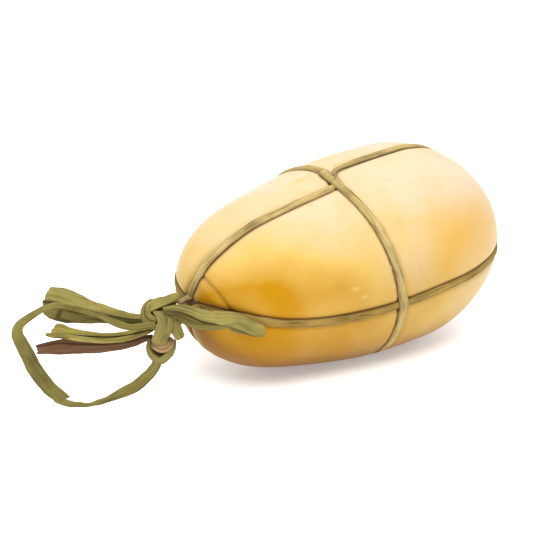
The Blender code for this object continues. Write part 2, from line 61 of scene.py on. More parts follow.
# ---- the rind's form, as the solid has it
WIDEST_RADIUS = 0.050
TIED_LENGTH = 0.11595
BROAD_LENGTH = 0.0627
TIED_POWER = 1.617
TIED_FULLNESS = 2.713
BROAD_POWER = 1.531
BROAD_FULLNESS = 2.004
SOFTNESS = 0.12
SHOULDER_PLACE = -0.0996
SHOULDER_REACH = 0.0225
SHOULDER_SHARE = 0.068
TILT = math.radians(4.5)
CENTRE = np.array([0.0673, 0.0, 0.050005])    # the widest ring's middle
AXIS = np.array([math.cos(TILT), 0.0, math.sin(TILT)])
UPWARDS = np.array([-math.sin(TILT), 0.0, math.cos(TILT)])
NEAR = np.array([0.0, -1.0, 0.0])

# ---- where the strands lie
STRAND_ANGLES = {            # radians from the top towards -Y, by widest radii along the axis
    "top": (0.137, -0.053, -0.040, -0.005),
    "near": (1.735, -0.061, 0.070, 0.059),
    "under": (3.310, -0.085, -0.035, 0.0),
    "far": (5.003, 0.012, 0.0, 0.0),
}
TOP_STEP = 0.242             # radians that the top strand steps aside, hitched to the girth
TOP_STEP_PLACE = -0.81
TOP_STEP_REACH = 0.035
TOP_TURN = 2.1               # radians that it turns off towards the knot at the tied pole
TOP_TURN_REACH = 4.0 * MM
TOP_SAG = 0.05               # radians that it sags aside near the tied pole
TOP_SAG_PLACE = 18.0 * MM
TOP_SAG_REACH = 10.0 * MM
TOP_DROP = 0.15              # radians that it drops away behind past the broad shoulder
TOP_DROP_PLACE = 0.55
TOP_DROP_REACH = 0.10
GIRTH_PLACE = -0.763
GIRTH_LEAN_UP = -0.154
GIRTH_LEAN_NEAR = 0.123
GIRTH_STEP = 0.10           # widest radii that the hitch pushes the girth aside
GIRTH_STEP_ANGLE = math.radians(12.0)
GIRTH_STEP_REACH = math.radians(5.0)
HITCH_ANGLE = math.radians(14.5)    # where the girth is hitched round the top strand
PLY_SPAN = 0.10              # radians that the hitch's second ply reaches either way
PLY_ASIDE = 0.9 * MM
PLY_HALF_WIDTH = 2.7 * MM
PLY_HEIGHT = 2.4 * MM
GROOVE_WIDTH = 3.2 * MM
PRESSED_DEPTH = 1.5 * MM
FURROW_SHARE = 1.2
FURROW_REACH = 26.0 * MM
STRAND_PORTS = {             # where on the knot each strand arrives, in mm from its middle
    "top": (9.0, 2.0, 1.5),
    "near": (7.5, -3.5, -1.0),
    "under": (6.5, 0.5, -5.5),
    "far": (5.5, 4.5, 4.0),
}
# patches of the rind: share, outline mm and reach, degrees from the top and reach
GOLD_PATCHES = ((0.66, 34.0, 30.0, 83.0, 27.0), (0.24, 80.0, 26.0, 81.0, 15.0),
                (0.18, 145.0, 26.0, 70.0, 14.0))
PEACH_PATCH = (0.4, 154.0, 26.0, 74.0, 24.0)
# Painted shade over a patch low on the broad end.
PAINTED_SHADE_PATCH = (0.22, 112.0, 30.0, 97.0, 19.0)
# a yellow spot, then flakes: outline mm, degrees, reaches along and around, share of gold
RIND_MARKS = ((85.6, 5.0, (3.2, 1.6), 0.35), (103.2, 79.0, (0.7, 1.0), -0.7),
              (103.8, 90.0, (1.1, 0.8), -0.7), (83.1, 85.5, (2.0, 0.7), -0.35),
              (87.5, 91.5, (2.4, 0.7), -0.3))
# Painted shade runs in a line beside each strand, on this side.
CREVICE_SIDES = (1, -1, 1, 1)    # the side on which the rind overhangs each strand
PRESSED_SHARE = 0.6          # a strand under the cheese's weight keeps this much thickness
LEAVE_LENGTHS = {"top": 4.5 * MM, "near": 7.0 * MM, "under": 7.0 * MM, "far": 7.0 * MM}
GAP = 0.3 * MM
UNDER = 0.3 * MM             # thickness of a strand below its path
FLOOR_GAP = 0.2 * MM
POLE_HOLE = 0.2 * MM         # where the rind's rings start and stop short of its poles

RIND_ROWS = 250
RIND_COLUMNS = 380
SECTION = 28                 # points round a strand
STATION_STEP = 0.9 * MM      # along a strand
LEAD_STATIONS = 14           # between a knot and the rind
LEAF_LINES = 56
LEAF_STEP = 0.5 * MM

# ---- the knots
# Each strip of a knot is given in its front's own directions: across, up and out, in mm.
UPPER_KNOT = CENTRE * (1, 1, 0) + np.array([-0.1290, 0.0, 0.0405])
FRONT_RIGHT = np.array([0.8057, -0.5923, 0.0])
FRONT_UP = np.array([0.1771, 0.2409, 0.9543])
FRONT_OUT = np.array([-0.5652, -0.7689, 0.2990])

# rows: across, up, out, half width, half thickness
UPPER_STRIPS = {
    "over": ((-7.9, -2.5, -2.0, 1.8, 0.9), (-7.0, 1.1, 2.0, 2.4, 1.0), (-5.0, 3.5, 5.0, 2.8, 1.1),
             (-2.2, 4.6, 6.0, 2.8, 1.2), (0.9, 5.3, 5.5, 2.5, 1.2), (3.6, 6.6, 3.5, 2.1, 1.1),
             (5.8, 7.7, 0.0, 1.6, 0.9)),
    "left_outer": ((-4.5, 4.6, -3.0, 1.6, 0.8), (-7.5, 4.2, 1.0, 2.2, 0.9), (-9.0, 1.5, 2.5, 2.6, 1.0),
                   (-8.8, -2.0, 4.0, 2.4, 1.0), (-6.6, -4.7, 5.0, 2.4, 1.0), (-3.5, -6.2, 5.5, 2.2, 0.9),
                   (-0.4, -6.9, 5.5, 1.8, 0.8)),
    "left_inner": ((-3.5, 5.5, 3.0, 1.0, 0.6), (-6.2, 4.2, 4.3, 1.5, 0.7), (-7.0, 1.5, 5.0, 1.7, 0.8),
                   (-6.2, -1.2, 6.0, 1.7, 0.8), (-3.9, -2.7, 6.6, 1.6, 0.7), (-1.3, -3.4, 6.6, 1.2, 0.6)),
    "right_stub": ((1.3, -1.6, 4.5, 1.5, 0.8), (4.0, -4.7, 5.4, 2.6, 0.9), (5.8, -7.3, 5.8, 2.8, 0.9),
                   (7.1, -10.0, 5.4, 2.4, 0.8), (7.8, -11.4, 5.0, 2.1, 0.7)),
    "front_band": ((-4.4, 0.8, 6.3, 0.5, 0.4), (-1.3, -0.7, 7.8, 2.1, 0.7), (0.7, -2.9, 8.3, 3.5, 0.9),
                   (0.5, -6.5, 7.9, 3.7, 0.9), (-0.6, -9.6, 6.8, 3.4, 0.9), (-1.6, -12.2, 5.8, 3.3, 0.8),
                   (-2.2, -14.2, 4.4, 3.0, 0.7)),
}
LOWER_STRIPS = {
    "inner": ((-5.8, -13.0, 0.6, 2.0, 0.5), (-3.2, -14.2, 3.2, 2.5, 0.6), (-0.2, -14.8, 4.2, 2.7, 0.7),
              (2.0, -13.5, 3.8, 2.5, 0.6), (3.5, -11.0, 1.8, 1.7, 0.5)),
    "collar": ((-6.4, -11.3, 0.0, 1.2, 0.8), (-6.9, -15.3, 1.8, 1.5, 0.9), (-5.2, -18.8, 3.4, 1.8, 1.0),
               (-1.7, -20.9, 4.0, 2.0, 1.0), (1.6, -19.1, 3.6, 1.8, 1.0), (3.9, -15.8, 2.2, 1.5, 0.9),
               (4.4, -11.8, 0.2, 1.2, 0.8)),
}
UPPER_CORE = ((0.0, -0.5, -0.5), (6.8, 6.6, 6.0))     # middle and half sizes
LOWER_CORE = ((-1.0, -16.0, -2.0), (5.4, 5.6, 5.0))

# ---- the leaf ends and the loop
# rows: x from the widest ring, y, z, width in mm, turn and cup in degrees
TAIL_FRONT = ((-134.0, -7.6, 44.2, 5.0, 80, -60), (-131.5, -10.5, 44.2, 7.0, 80, -80),
              (-128.4, -13.4, 43.4, 9.2, 80, -90), (-122.7, -18.6, 40.7, 11.0, 82, -100),
              (-117.5, -23.0, 40.0, 10.9, 84, -100), (-112.9, -28.5, 40.4, 10.1, 84, -100),
              (-107.8, -31.8, 38.7, 8.4, 86, -90), (-103.2, -33.5, 36.6, 7.3, 87, -80),
              (-99.7, -34.6, 35.2, 5.5, 88, -60))
TAIL_WIDE = ((-135.5, 2.5, 37.9, 3.7, 84, -60), (-139.2, 4.0, 38.3, 4.8, 84, -60),
             (-144.6, 6.0, 39.2, 6.3, 84, -70), (-152.9, 7.0, 42.2, 8.3, 84, -80),
             (-161.1, 8.0, 45.1, 11.5, 82, -90), (-169.4, 8.5, 48.6, 15.2, 80, -90),
             (-175.4, 8.5, 51.9, 15.4, 78, -85), (-180.0, 8.5, 53.9, 12.8, 78, -80),
             (-183.1, 8.5, 55.0, 8.9, 78, -70))
TAIL_SPLIT = ((-134.5, 0.0, 34.0, 2.3, 80, 60), (-141.7, 0.0, 34.4, 4.0, 80, 70),
              (-149.3, 0.0, 34.6, 3.4, 80, 80), (-158.1, 0.0, 35.9, 3.0, 80, 90),
              (-164.9, 0.0, 37.7, 3.6, 80, 100), (-171.0, 0.0, 39.5, 4.4, 80, 105),
              (-176.6, 0.0, 41.5, 5.3, 80, 100), (-181.5, 0.3, 43.5, 7.0, 80, 90),
              (-186.4, 0.5, 44.0, 4.8, 80, 60))
SPLIT_TIP = ((-137.0, -0.8, 33.4, 1.2, 80, 40), (-149.0, -1.2, 33.2, 2.2, 80, 40),
             (-160.0, -1.2, 34.6, 2.2, 80, 40), (-170.0, -1.0, 37.4, 2.2, 80, 40),
             (-179.0, -0.6, 40.8, 2.0, 80, 40), (-187.4, -0.2, 43.2, 1.4, 80, 40))
TAIL_BROWN = ((-134.5, 1.2, 30.2, 1.6, 82, -40), (-139.4, 2.5, 29.6, 3.4, 84, -50),
              (-143.6, 3.2, 28.9, 4.6, 84, -55), (-152.9, 4.5, 29.1, 5.7, 84, -60),
              (-162.2, 5.5, 30.4, 6.5, 84, -60), (-175.2, 7.2, 32.6, 6.9, 84, -60),
              (-181.4, 8.0, 33.2, 5.4, 84, -55), (-187.6, 8.6, 33.5, 3.8, 84, -45))
HANGING_LOOP = ((-136.5, -5.2, 38.2, 2.6, 70, -20), (-144.6, -6.0, 39.3, 2.6, 70, -20),
                (-149.6, -6.0, 39.9, 2.8, 70, -20), (-154.7, -5.7, 42.1, 3.4, 70, -25),
                (-159.2, -5.2, 44.7, 3.0, 70, -20), (-163.6, -4.7, 47.7, 2.6, 68, -20),
                (-172.2, -3.3, 51.8, 2.4, 65, -20), (-181.0, -1.6, 55.1, 2.4, 65, -20),
                (-184.7, -0.9, 55.2, 2.5, 64, -20), (-188.5, -0.2, 54.1, 2.6, 62, -20),
                (-195.6, 1.4, 50.4, 3.3, 60, -20), (-198.1, 2.2, 47.8, 4.1, 62, -22),
                (-198.1, 3.0, 44.3, 5.0, 68, -24), (-196.4, 3.8, 40.4, 5.6, 74, -26),
                (-192.8, 6.0, 33.3, 6.1, 80, -28), (-187.6, 9.0, 23.2, 6.5, 83, -30),
                (-181.7, 11.3, 14.5, 6.3, 84, -30), (-176.6, 11.5, 8.6, 6.0, 82, -24),
                (-173.4, 11.3, 5.2, 5.4, 78, -20))
LOOP_FOLDED = ((-177.8, 12.2, 7.6, 3.6, 70, -20), (-171.8, 11.6, 3.6, 3.6, 56, -20),
               (-167.8, 10.4, 2.7, 3.3, 50, -20), (-164.2, 9.5, 1.9, 3.0, 46, -20),
               (-159.5, 8.8, 2.1, 3.8, 50, -20), (-153.4, 8.2, 2.9, 5.3, 58, -20),
               (-147.6, 7.5, 4.1, 6.4, 68, -24), (-141.8, 6.2, 5.9, 6.9, 76, -26),
               (-138.5, 5.2, 7.9, 7.3, 80, -30), (-135.7, 3.2, 11.3, 7.6, 80, -36),
               (-133.9, 0.8, 15.3, 7.2, 80, -40), (-133.3, -1.0, 19.1, 6.0, 80, -40))

# ---- the stage
CAMERA_PLACE = (-0.3365, -0.4501, 0.2264)
CAMERA_AIM = (-0.0056, 0.0, 0.0515)
CAMERA_LENS = 85.0
FLOOR_SIZE = 6.0
BRIGHT_SIDE = (0.25, 0.30, 0.92)     # where the room's light is strongest
ROOM_SLOPE = 0.6
SOFTBOX_PLACE = (-0.36, -0.47, 0.92)
SOFTBOX_AIM = (0.02, 0.0, 0.03)
SOFTBOX_SIZE = 0.7


def linear_colour(code):
    """The scene-linear colour, with alpha, of an sRGB hex code."""
    shares = np.array([int(code[k:k + 2], 16) for k in (1, 3, 5)]) / 255.0
    linear = np.where(shares <= 0.04045, shares / 12.92, ((shares + 0.055) / 1.055) ** 2.4)
    return (*linear.tolist(), 1.0)


# ---- what a user would change

def size_property(name, description, default, low, high):
    """A length setting, its default and limits given in mm."""
    return FloatProperty(name=name, description=description, default=default * MM, min=low * MM,
                         max=high * MM, subtype="DISTANCE", unit="LENGTH")


def colour_property(name, description, code):
    """A colour setting whose default is an sRGB hex code."""
    return FloatVectorProperty(name=name, description=description, subtype="COLOR", size=4,
                               min=0.0, max=1.0, default=linear_colour(code))


class ProvolaSizes(bpy.types.PropertyGroup):
    """Sizes of the tie and of the marks that it leaves."""
    strand_width: size_property("Strand width", "Width of a strand of the tie", 4.1, 2.0, 7.0)
    strand_height: size_property("Strand thickness", "Height of a strand over its groove's bottom",
                                 2.0, 1.0, 3.0)
    groove_depth: size_property("Groove depth", "How deep the strands have sunk into the rind",
                                1.2, 0.5, 1.5)
    crease_depth: size_property("Crease depth", "Depth of the fold where the curd was closed",
                                0.7, 0.0, 1.5)
    leaf_thickness: size_property("Leaf thickness", "Thickness of the loose leaf ends", 0.7, 0.3, 1.2)


class ProvolaColours(bpy.types.PropertyGroup):
    """Colours of the rind and of the dried leaf."""
    rind_pale: colour_property("Pale rind", "Fresh, cream coloured rind", "#C0AE92")
    rind_yellow: colour_property("Yellow rind", "Rind half way to gold", "#BD9D52")
    rind_gold: colour_property("Golden rind", "Rind that has dried to gold", "#A37400")
    rind_peach: colour_property("Peach patches", "Warmer patches of the broad end", "#B9853B")
    # Painted shade: the colour of the painted shade in the closing fold, the grooves, beside the strands and
    # over the underside.
    rind_painted_shade: colour_property("Creases", "Rind down in its creases and grooves", "#5A2C08")
    # The pale colours of the leaves also paint the highlight along a leaf's edges and crests.
    leaf_pale: colour_property("Pale leaf", "Bleached ribs and edges of a leaf", "#A99C62")
    leaf_straw: colour_property("Strands", "The strands on the rind, tanner than the ends", "#9D874F")
    # Side strands: a darker copy of the strand colour, painted shade for the strands along the sides.
    leaf_side_shade: colour_property("Side strands", "The strands along the sides, browner", "#84692F")
    leaf_tan: colour_property("Strand ribs", "Bleached ribs of the strands", "#C4B07C")
    leaf_green: colour_property("Green leaf", "Grey green of the dried leaf", "#70672F")
    # Also the colour of the painted shade in folds, under plies, along edges and in the knots' cores.
    leaf_dark: colour_property("Leaf folds", "Down in the leaf's folds", "#2E2006")
    leaf_yellow: colour_property("Yellow leaf", "The split, yellower leaf", "#7F732E")
    leaf_rose: colour_property("Rose leaf", "Bleached edges of the leaf that has turned", "#8E6A52")
    leaf_brown: colour_property("Brown leaf", "The leaf that has turned brown", "#53351F")


class ProvolaLights(bpy.types.PropertyGroup):
    """Strengths of the studio lights."""
    overhead: FloatProperty(name="Overhead", description="Power of the large lamp overhead",
                            default=10.3, min=0.0, subtype="POWER", unit="POWER")
    room: FloatProperty(name="Room", description="Brightness of the white room around",
                        default=0.94, min=0.0)


# ---- vectors and curves

def unit(vectors):
    """The vectors at length one, along the last axis."""
    vectors = np.asarray(vectors, dtype=float)
    return vectors / np.maximum(np.linalg.norm(vectors, axis=-1, keepdims=True), 1e-12)


def bump(distance, reach):
    """A bell: 1 in the middle, falling off as exp(-(distance / reach) squared)."""
    return np.exp(-(distance / reach) ** 2)


def step_up(distance):
    """A smooth step from 0 to 1: one over one plus exp(-distance)."""
    return 1.0 / (1.0 + np.exp(-np.clip(distance, -40.0, 40.0)))


def wrapped(angle):
    """The angle brought between minus and plus half a turn."""
    return (angle + math.pi) % (2.0 * math.pi) - math.pi


def smooth_rows(rows, stations):
    """Rows read at even lengths on a Catmull-Rom curve through the given ones.

    The first three columns are the place; the others, such as widths, follow along.
    """
    rows = np.asarray(rows, dtype=float)
    padded = np.vstack([2.0 * rows[0] - rows[1], rows, 2.0 * rows[-1] - rows[-2]])
    share = np.linspace(0.0, 1.0, 24, endpoint=False)[None, :, None]
    before, start, end, after = (padded[k:len(padded) - 3 + k][:, None, :] for k in range(4))
    dense = 0.5 * (2.0 * start + (end - before) * share
                   + (2.0 * before - 5.0 * start + 4.0 * end - after) * share ** 2
                   + (3.0 * start - before - 3.0 * end + after) * share ** 3)
    dense = np.vstack([dense.reshape(-1, rows.shape[1]), rows[-1:]])
    length = path_length(dense[:, :3])
    even = np.linspace(0.0, length[-1], stations)
    return np.stack([np.interp(even, length, column) for column in dense.T], axis=-1)


def path_length(points):
    """Length along a path, at each of its points."""
    steps = np.linalg.norm(np.diff(points, axis=0), axis=-1)
    return np.concatenate([[0.0], np.cumsum(steps)])


def waver(along, step, seed):
    """A smooth unevenness between about -1 and 1: three sines of wandering phase."""
    draws = np.random.default_rng(seed).uniform(0.0, 2.0 * math.pi, 3)
    turns = 2.0 * math.pi * np.asarray(along) / step
    return (np.sin(turns + draws[0]) + 0.6 * np.sin(1.83 * turns + draws[1])
            + 0.4 * np.sin(3.27 * turns + draws[2])) / 2.0


# ---- the rind

def taper(distance, length, power, fullness):
    """Share of the widest radius at a distance from the widest ring: a softened superellipse."""
    share = np.sqrt((distance / length) ** 2 + SOFTNESS ** 2) - SOFTNESS
    share = share / (math.sqrt(1.0 + SOFTNESS ** 2) - SOFTNESS)
    return np.clip(1.0 - share ** power, 0.0, None) ** (1.0 / fullness)


def profile():
    """The rind's outline from the tied pole to the broad pole, as even steps along it.

    Gives length along the outline, place along the axis, radius, and the outward normal's
    shares along the axis and away from it.
    """
    spread = np.linspace(0.0, 1.0, 4001)
    tied = -TIED_LENGTH * (1.0 - spread ** 3)
    broad = BROAD_LENGTH * (1.0 - (1.0 - spread[1:]) ** 3)
    place = np.concatenate([tied, broad])
    radius = np.concatenate([
        taper(-tied, TIED_LENGTH, TIED_POWER, TIED_FULLNESS),
        taper(broad, BROAD_LENGTH, BROAD_POWER, BROAD_FULLNESS)])
    radius = WIDEST_RADIUS * radius * (1.0 + SHOULDER_SHARE * bump(place - SHOULDER_PLACE,
                                                                   SHOULDER_REACH))
    length = np.concatenate([[0.0], np.cumsum(np.hypot(np.diff(place), np.diff(radius)))])
    even = np.linspace(0.0, length[-1], 1601)
    place = np.interp(even, length, place)
    radius = np.interp(even, length, radius)
    along = unit(np.stack([np.gradient(place, even), np.gradient(radius, even)], axis=-1))
    return even, place, radius, -along[:, 1], along[:, 0]


LENGTH, PLACE, RADIUS, NORMAL_ALONG, NORMAL_OUT = profile()


def strand_angle(strand, length):
    """Angle of a lengthwise strand: a polynomial of its place along the axis.

    The top one also steps aside where it is hitched to the girth, drops away past the broad
    shoulder, and turns off and sags near the tied pole.
    """
    steps = np.interp(length, LENGTH, PLACE) / WIDEST_RADIUS
    angle = sum(factor * steps ** power for power, factor in enumerate(STRAND_ANGLES[strand]))
    if strand == "top":
        angle += TOP_STEP * step_up((TOP_STEP_PLACE - steps) / TOP_STEP_REACH)
        angle -= TOP_DROP * step_up((steps - TOP_DROP_PLACE) / TOP_DROP_REACH)
        angle -= TOP_TURN * np.exp(-length / TOP_TURN_REACH)
        angle -= TOP_SAG * bump(length - TOP_SAG_PLACE, TOP_SAG_REACH)
    return angle


def girth_length(angle):
    """Where the girth strand, which lies in a leaning plane, crosses the outline."""
    aside = GIRTH_STEP * step_up((GIRTH_STEP_ANGLE - wrapped(angle)) / GIRTH_STEP_REACH)
    start = (GIRTH_PLACE + 0.5 * aside * (1.0 + np.cos(angle))) * WIDEST_RADIUS
    place = start
    for _ in range(4):
        radius = np.interp(place, PLACE, RADIUS)
        lean = GIRTH_LEAN_UP * np.cos(angle) + GIRTH_LEAN_NEAR * np.sin(angle)
        place = start + lean * radius
    return np.interp(place, PLACE, LENGTH)


def directions(angle):
    """Unit vectors away from the axis, at angles round it."""
    angle = np.asarray(angle)[..., None]
    return np.cos(angle) * UPWARDS + np.sin(angle) * NEAR


def rind_normal(length, angle):
    """The outward normal of the smooth rind."""
    return (np.interp(length, LENGTH, NORMAL_ALONG)[..., None] * AXIS
            + np.interp(length, LENGTH, NORMAL_OUT)[..., None] * directions(angle))


def pressed(length, angle):
    """How much of the cheese's weight lies on the rind there: 1 straight underneath."""
    return np.clip(-rind_normal(length, angle)[..., 2], 0.0, None) ** 12


def strand_asides(length, angle):
    """Distance over the rind to each lengthwise strand, and to the girth."""
    radius = np.interp(length, LENGTH, RADIUS)
    asides = [radius * wrapped(angle - strand_angle(strand, length)) for strand in STRAND_ANGLES]
    return asides, length - girth_length(angle)


def groove(length, angle, depth):
    """Depth of the grooves under the strands: bells across each, deeper at the tied pole."""
    asides, girth_aside = strand_asides(length, angle)
    clear = np.ones(np.shape(length))
    for aside in asides:
        clear = clear * (1.0 - bump(aside, GROOVE_WIDTH))
    furrow = 1.0 + FURROW_SHARE * bump(length, FURROW_REACH)
    depth = depth + PRESSED_DEPTH * pressed(length, angle)
    return depth * ((1.0 - clear) * furrow + bump(girth_aside, GROOVE_WIDTH))


def rind_point(length, angle, lift):
    """Points over the smooth rind, raised along its normal."""
    radius = np.interp(length, LENGTH, RADIUS)[..., None]
    place = np.interp(length, LENGTH, PLACE)[..., None]
    lift = np.asarray(lift)[..., None]
    return (CENTRE + place * AXIS + radius * directions(angle)
            + lift * rind_normal(length, angle))


def crease_aside(length, angle):
    """Distance from the closing fold, an arc between the top and the near strand."""
    degrees = np.degrees(wrapped(angle))
    return length - (17.4 + 0.0017 * (degrees - 20.0) ** 2) * MM


def crease_window(angle):
    """1 between the two strands that the closing fold runs between, 0 elsewhere."""
    degrees = np.degrees(wrapped(angle))
    return step_up((degrees - 14.0) / 2.5) * step_up((96.0 - degrees) / 2.5)


def mark(length, angle, place, middle, reach):
    """A small bell on the rind, its reaches along and around given in mm."""
    radius = np.interp(length, LENGTH, RADIUS)
    around = radius * wrapped(angle - math.radians(middle))
    return bump(length - place * MM, reach[0] * MM) * bump(around, reach[1] * MM)


def patch(length, degrees, share, place, along, middle, around):
    """A broad bell on the rind, its place and reaches given in mm and in degrees."""
    return share * bump(length - place * MM, along * MM) * bump(degrees - middle, around)


def rind_relief(length, angle, sizes):
    """Height over the smooth rind: grooves, their raised lips, the closing fold, lumps and flakes.

    The lumps are a few sines of the place round and along the cheese.
    """
    asides, girth_aside = strand_asides(length, angle)
    relief = -groove(length, angle, sizes.groove_depth)
    lips = sum(bump(np.abs(aside) - 4.6 * MM, 1.8 * MM) for aside in asides)
    lips *= np.clip(length / (20.0 * MM), 0.0, 1.0)
    lips += bump(np.abs(girth_aside) - 4.6 * MM, 1.8 * MM)
    relief += 0.22 * MM * lips
    fold = crease_aside(length, angle)
    window = crease_window(angle)
    relief -= sizes.crease_depth * window * bump(fold, 0.75 * MM)
    relief += 0.45 * MM * window * bump(fold + 3.5 * MM, 2.6 * MM)
    along = length / (38.0 * MM)
    lumps = (np.sin(2.0 * angle + 1.3 + 1.1 * along) * np.sin(2.1 * along + 0.4)
             + 0.6 * np.sin(3.0 * angle + 4.0 - 1.7 * along)
             + 0.35 * np.sin(7.0 * angle + 3.1 * along) * np.sin(4.3 * along + 2.0))
    fade = np.clip(length / (25.0 * MM), 0.0, 1.0)
    fade *= np.clip((LENGTH[-1] - length) / (25.0 * MM), 0.0, 1.0)
    relief += 0.22 * MM * lumps * fade
    for place, middle, reach, _ in RIND_MARKS[1:]:
        relief += 0.3 * MM * mark(length, angle, place, middle, reach)
    return relief


def rind_tones(length, angle):
    """How golden, how shaded and how peach coloured the rind is, as shares from 0 to 1.

    Gold gathers in patches, low down, along the sides and round the tied pole. The second share
    is painted shade: in the closing fold, in the grooves near the tied pole, in lines beside the
    strands and the girth, over a patch low on the broad end, and over the underside.
    """
    degrees = np.degrees(wrapped(angle))
    asides, girth_aside = strand_asides(length, angle)
    low = step_up((np.abs(degrees) - 104.0) / 9.0)
    gold = sum(patch(length, degrees, *row) for row in GOLD_PATCHES)
    gold += 0.08 * step_up((95.0 * MM - length) / (15.0 * MM))
    gold += low * (0.35 * step_up((92.0 * MM - length) / (12.0 * MM))
                   + 0.22 * step_up((150.0 * MM - length) / (12.0 * MM)))
    # Yellower down the sides than on top: in part the rind's own colour, in part a painted highlight that
    # keeps the top paler.
    gold += 0.03 + 0.30 * step_up((np.abs(degrees) - 54.0) / 15.0)
    gold += bump(length, 36.0 * MM) * (0.36 + 0.26 * step_up((degrees - 20.0) / 8.0))
    # Painted shade: the closing fold, the grooves near the tied pole, a line beside each strand and the girth
    # where the rind overhangs, and a spot beside the top strand at the tied pole.
    painted_shade = 0.32 * crease_window(angle) * bump(crease_aside(length, angle), 1.3 * MM)
    near_pole = bump(length, 32.0 * MM)
    for aside, overhang in zip(asides, CREVICE_SIDES):
        painted_shade += (0.03 + 0.5 * near_pole) * bump(aside, 3.2 * MM)
        painted_shade += 0.9 * bump(aside - overhang * 2.35 * MM, 0.65 * MM)
    painted_shade += 0.9 * bump(girth_aside + 2.6 * MM, 0.65 * MM)
    painted_shade += bump(asides[0] - 2.8 * MM, 1.4 * MM) * bump(length, 25.0 * MM)
    # Painted shade over the underside and over a patch low on the broad end.
    painted_shade += 0.30 * step_up((np.abs(degrees) - 126.0) / 7.0)
    painted_shade += 0.30 * step_up((np.abs(degrees) - 136.0) / 4.0)
    painted_shade += patch(length, degrees, *PAINTED_SHADE_PATCH)
    for place, middle, reach, change in RIND_MARKS:
        gold += change * mark(length, angle, place, middle, reach)
    peach = patch(length, degrees, *PEACH_PATCH)
    return np.clip(np.stack([gold, painted_shade, peach], axis=-1), 0.0, 1.0)


# ---- gathering grids into one piece

class Skin:
    """Points, faces, UVs and tones of one piece, gathered before its mesh is made."""

    def __init__(self):
        self.points = []
        self.faces = []
        self.uvs = []
        self.tones = []
        self.count = 0

    def add_rings(self, rings, uv, tone):
        """Add closed rings, in order along a path, and close both ends.

        Side faces join each ring to the next. An end is closed by faces that zip the ring's
        first half to its second. uv has one more column than the ring, for the seam.
        """
        stations, corners = rings.shape[:2]
        index = self.count + np.arange(stations * corners).reshape(stations, corners)
        after = np.roll(index, -1, axis=1)
        sides = np.stack([index[:-1], after[:-1], after[1:], index[1:]], axis=-1).reshape(-1, 4)
        side_uv = np.stack([uv[:-1, :-1], uv[:-1, 1:], uv[1:, 1:], uv[1:, :-1]], axis=-2)
        half = np.arange(corners // 2 - 1)
        zipped = np.stack([half, half + 1, corners - 2 - half, corners - 1 - half], axis=-1)
        ends = np.concatenate([index[0][zipped[:, ::-1]], index[-1][zipped]])
        end_uv = np.concatenate([uv[0, :-1][zipped[:, ::-1]], uv[-1, :-1][zipped]])
        self.points.append(rings.reshape(-1, 3))
        self.faces.append(np.concatenate([sides, ends]))
        self.uvs.append(np.concatenate([side_uv.reshape(-1, 4, 2), end_uv]))
        self.tones.append(np.broadcast_to(tone, rings.shape[:2] + (3,)).reshape(-1, 3))
        self.count += stations * corners

    def make(self, name, material, nodes):
        """Make the object, let it ride on the body and stand for its nodes."""
        points = np.concatenate(self.points)
        mesh = bpy.data.meshes.new(name)
        mesh.from_pydata(points.tolist(), [], np.concatenate(self.faces).tolist())
        layer = mesh.uv_layers.new(name="strip")
        layer.data.foreach_set("uv", np.concatenate(self.uvs).astype(np.float32).ravel())
        tone = mesh.attributes.new("tone", "FLOAT_COLOR", "POINT")
        shares = np.concatenate(self.tones)
        shares = np.concatenate([shares, np.ones((len(shares), 1))], axis=-1)
        tone.data.foreach_set("color", shares.astype(np.float32).ravel())
        mesh.materials.append(material)
        mesh.shade_smooth()
        mesh.validate()
        piece = bpy.data.objects.new(name, mesh)
        bpy.context.scene.collection.objects.link(piece)
        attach(piece, BODY)
        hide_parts(*nodes)
        return piece


# ---- strips: what strands, knots and ties are made of

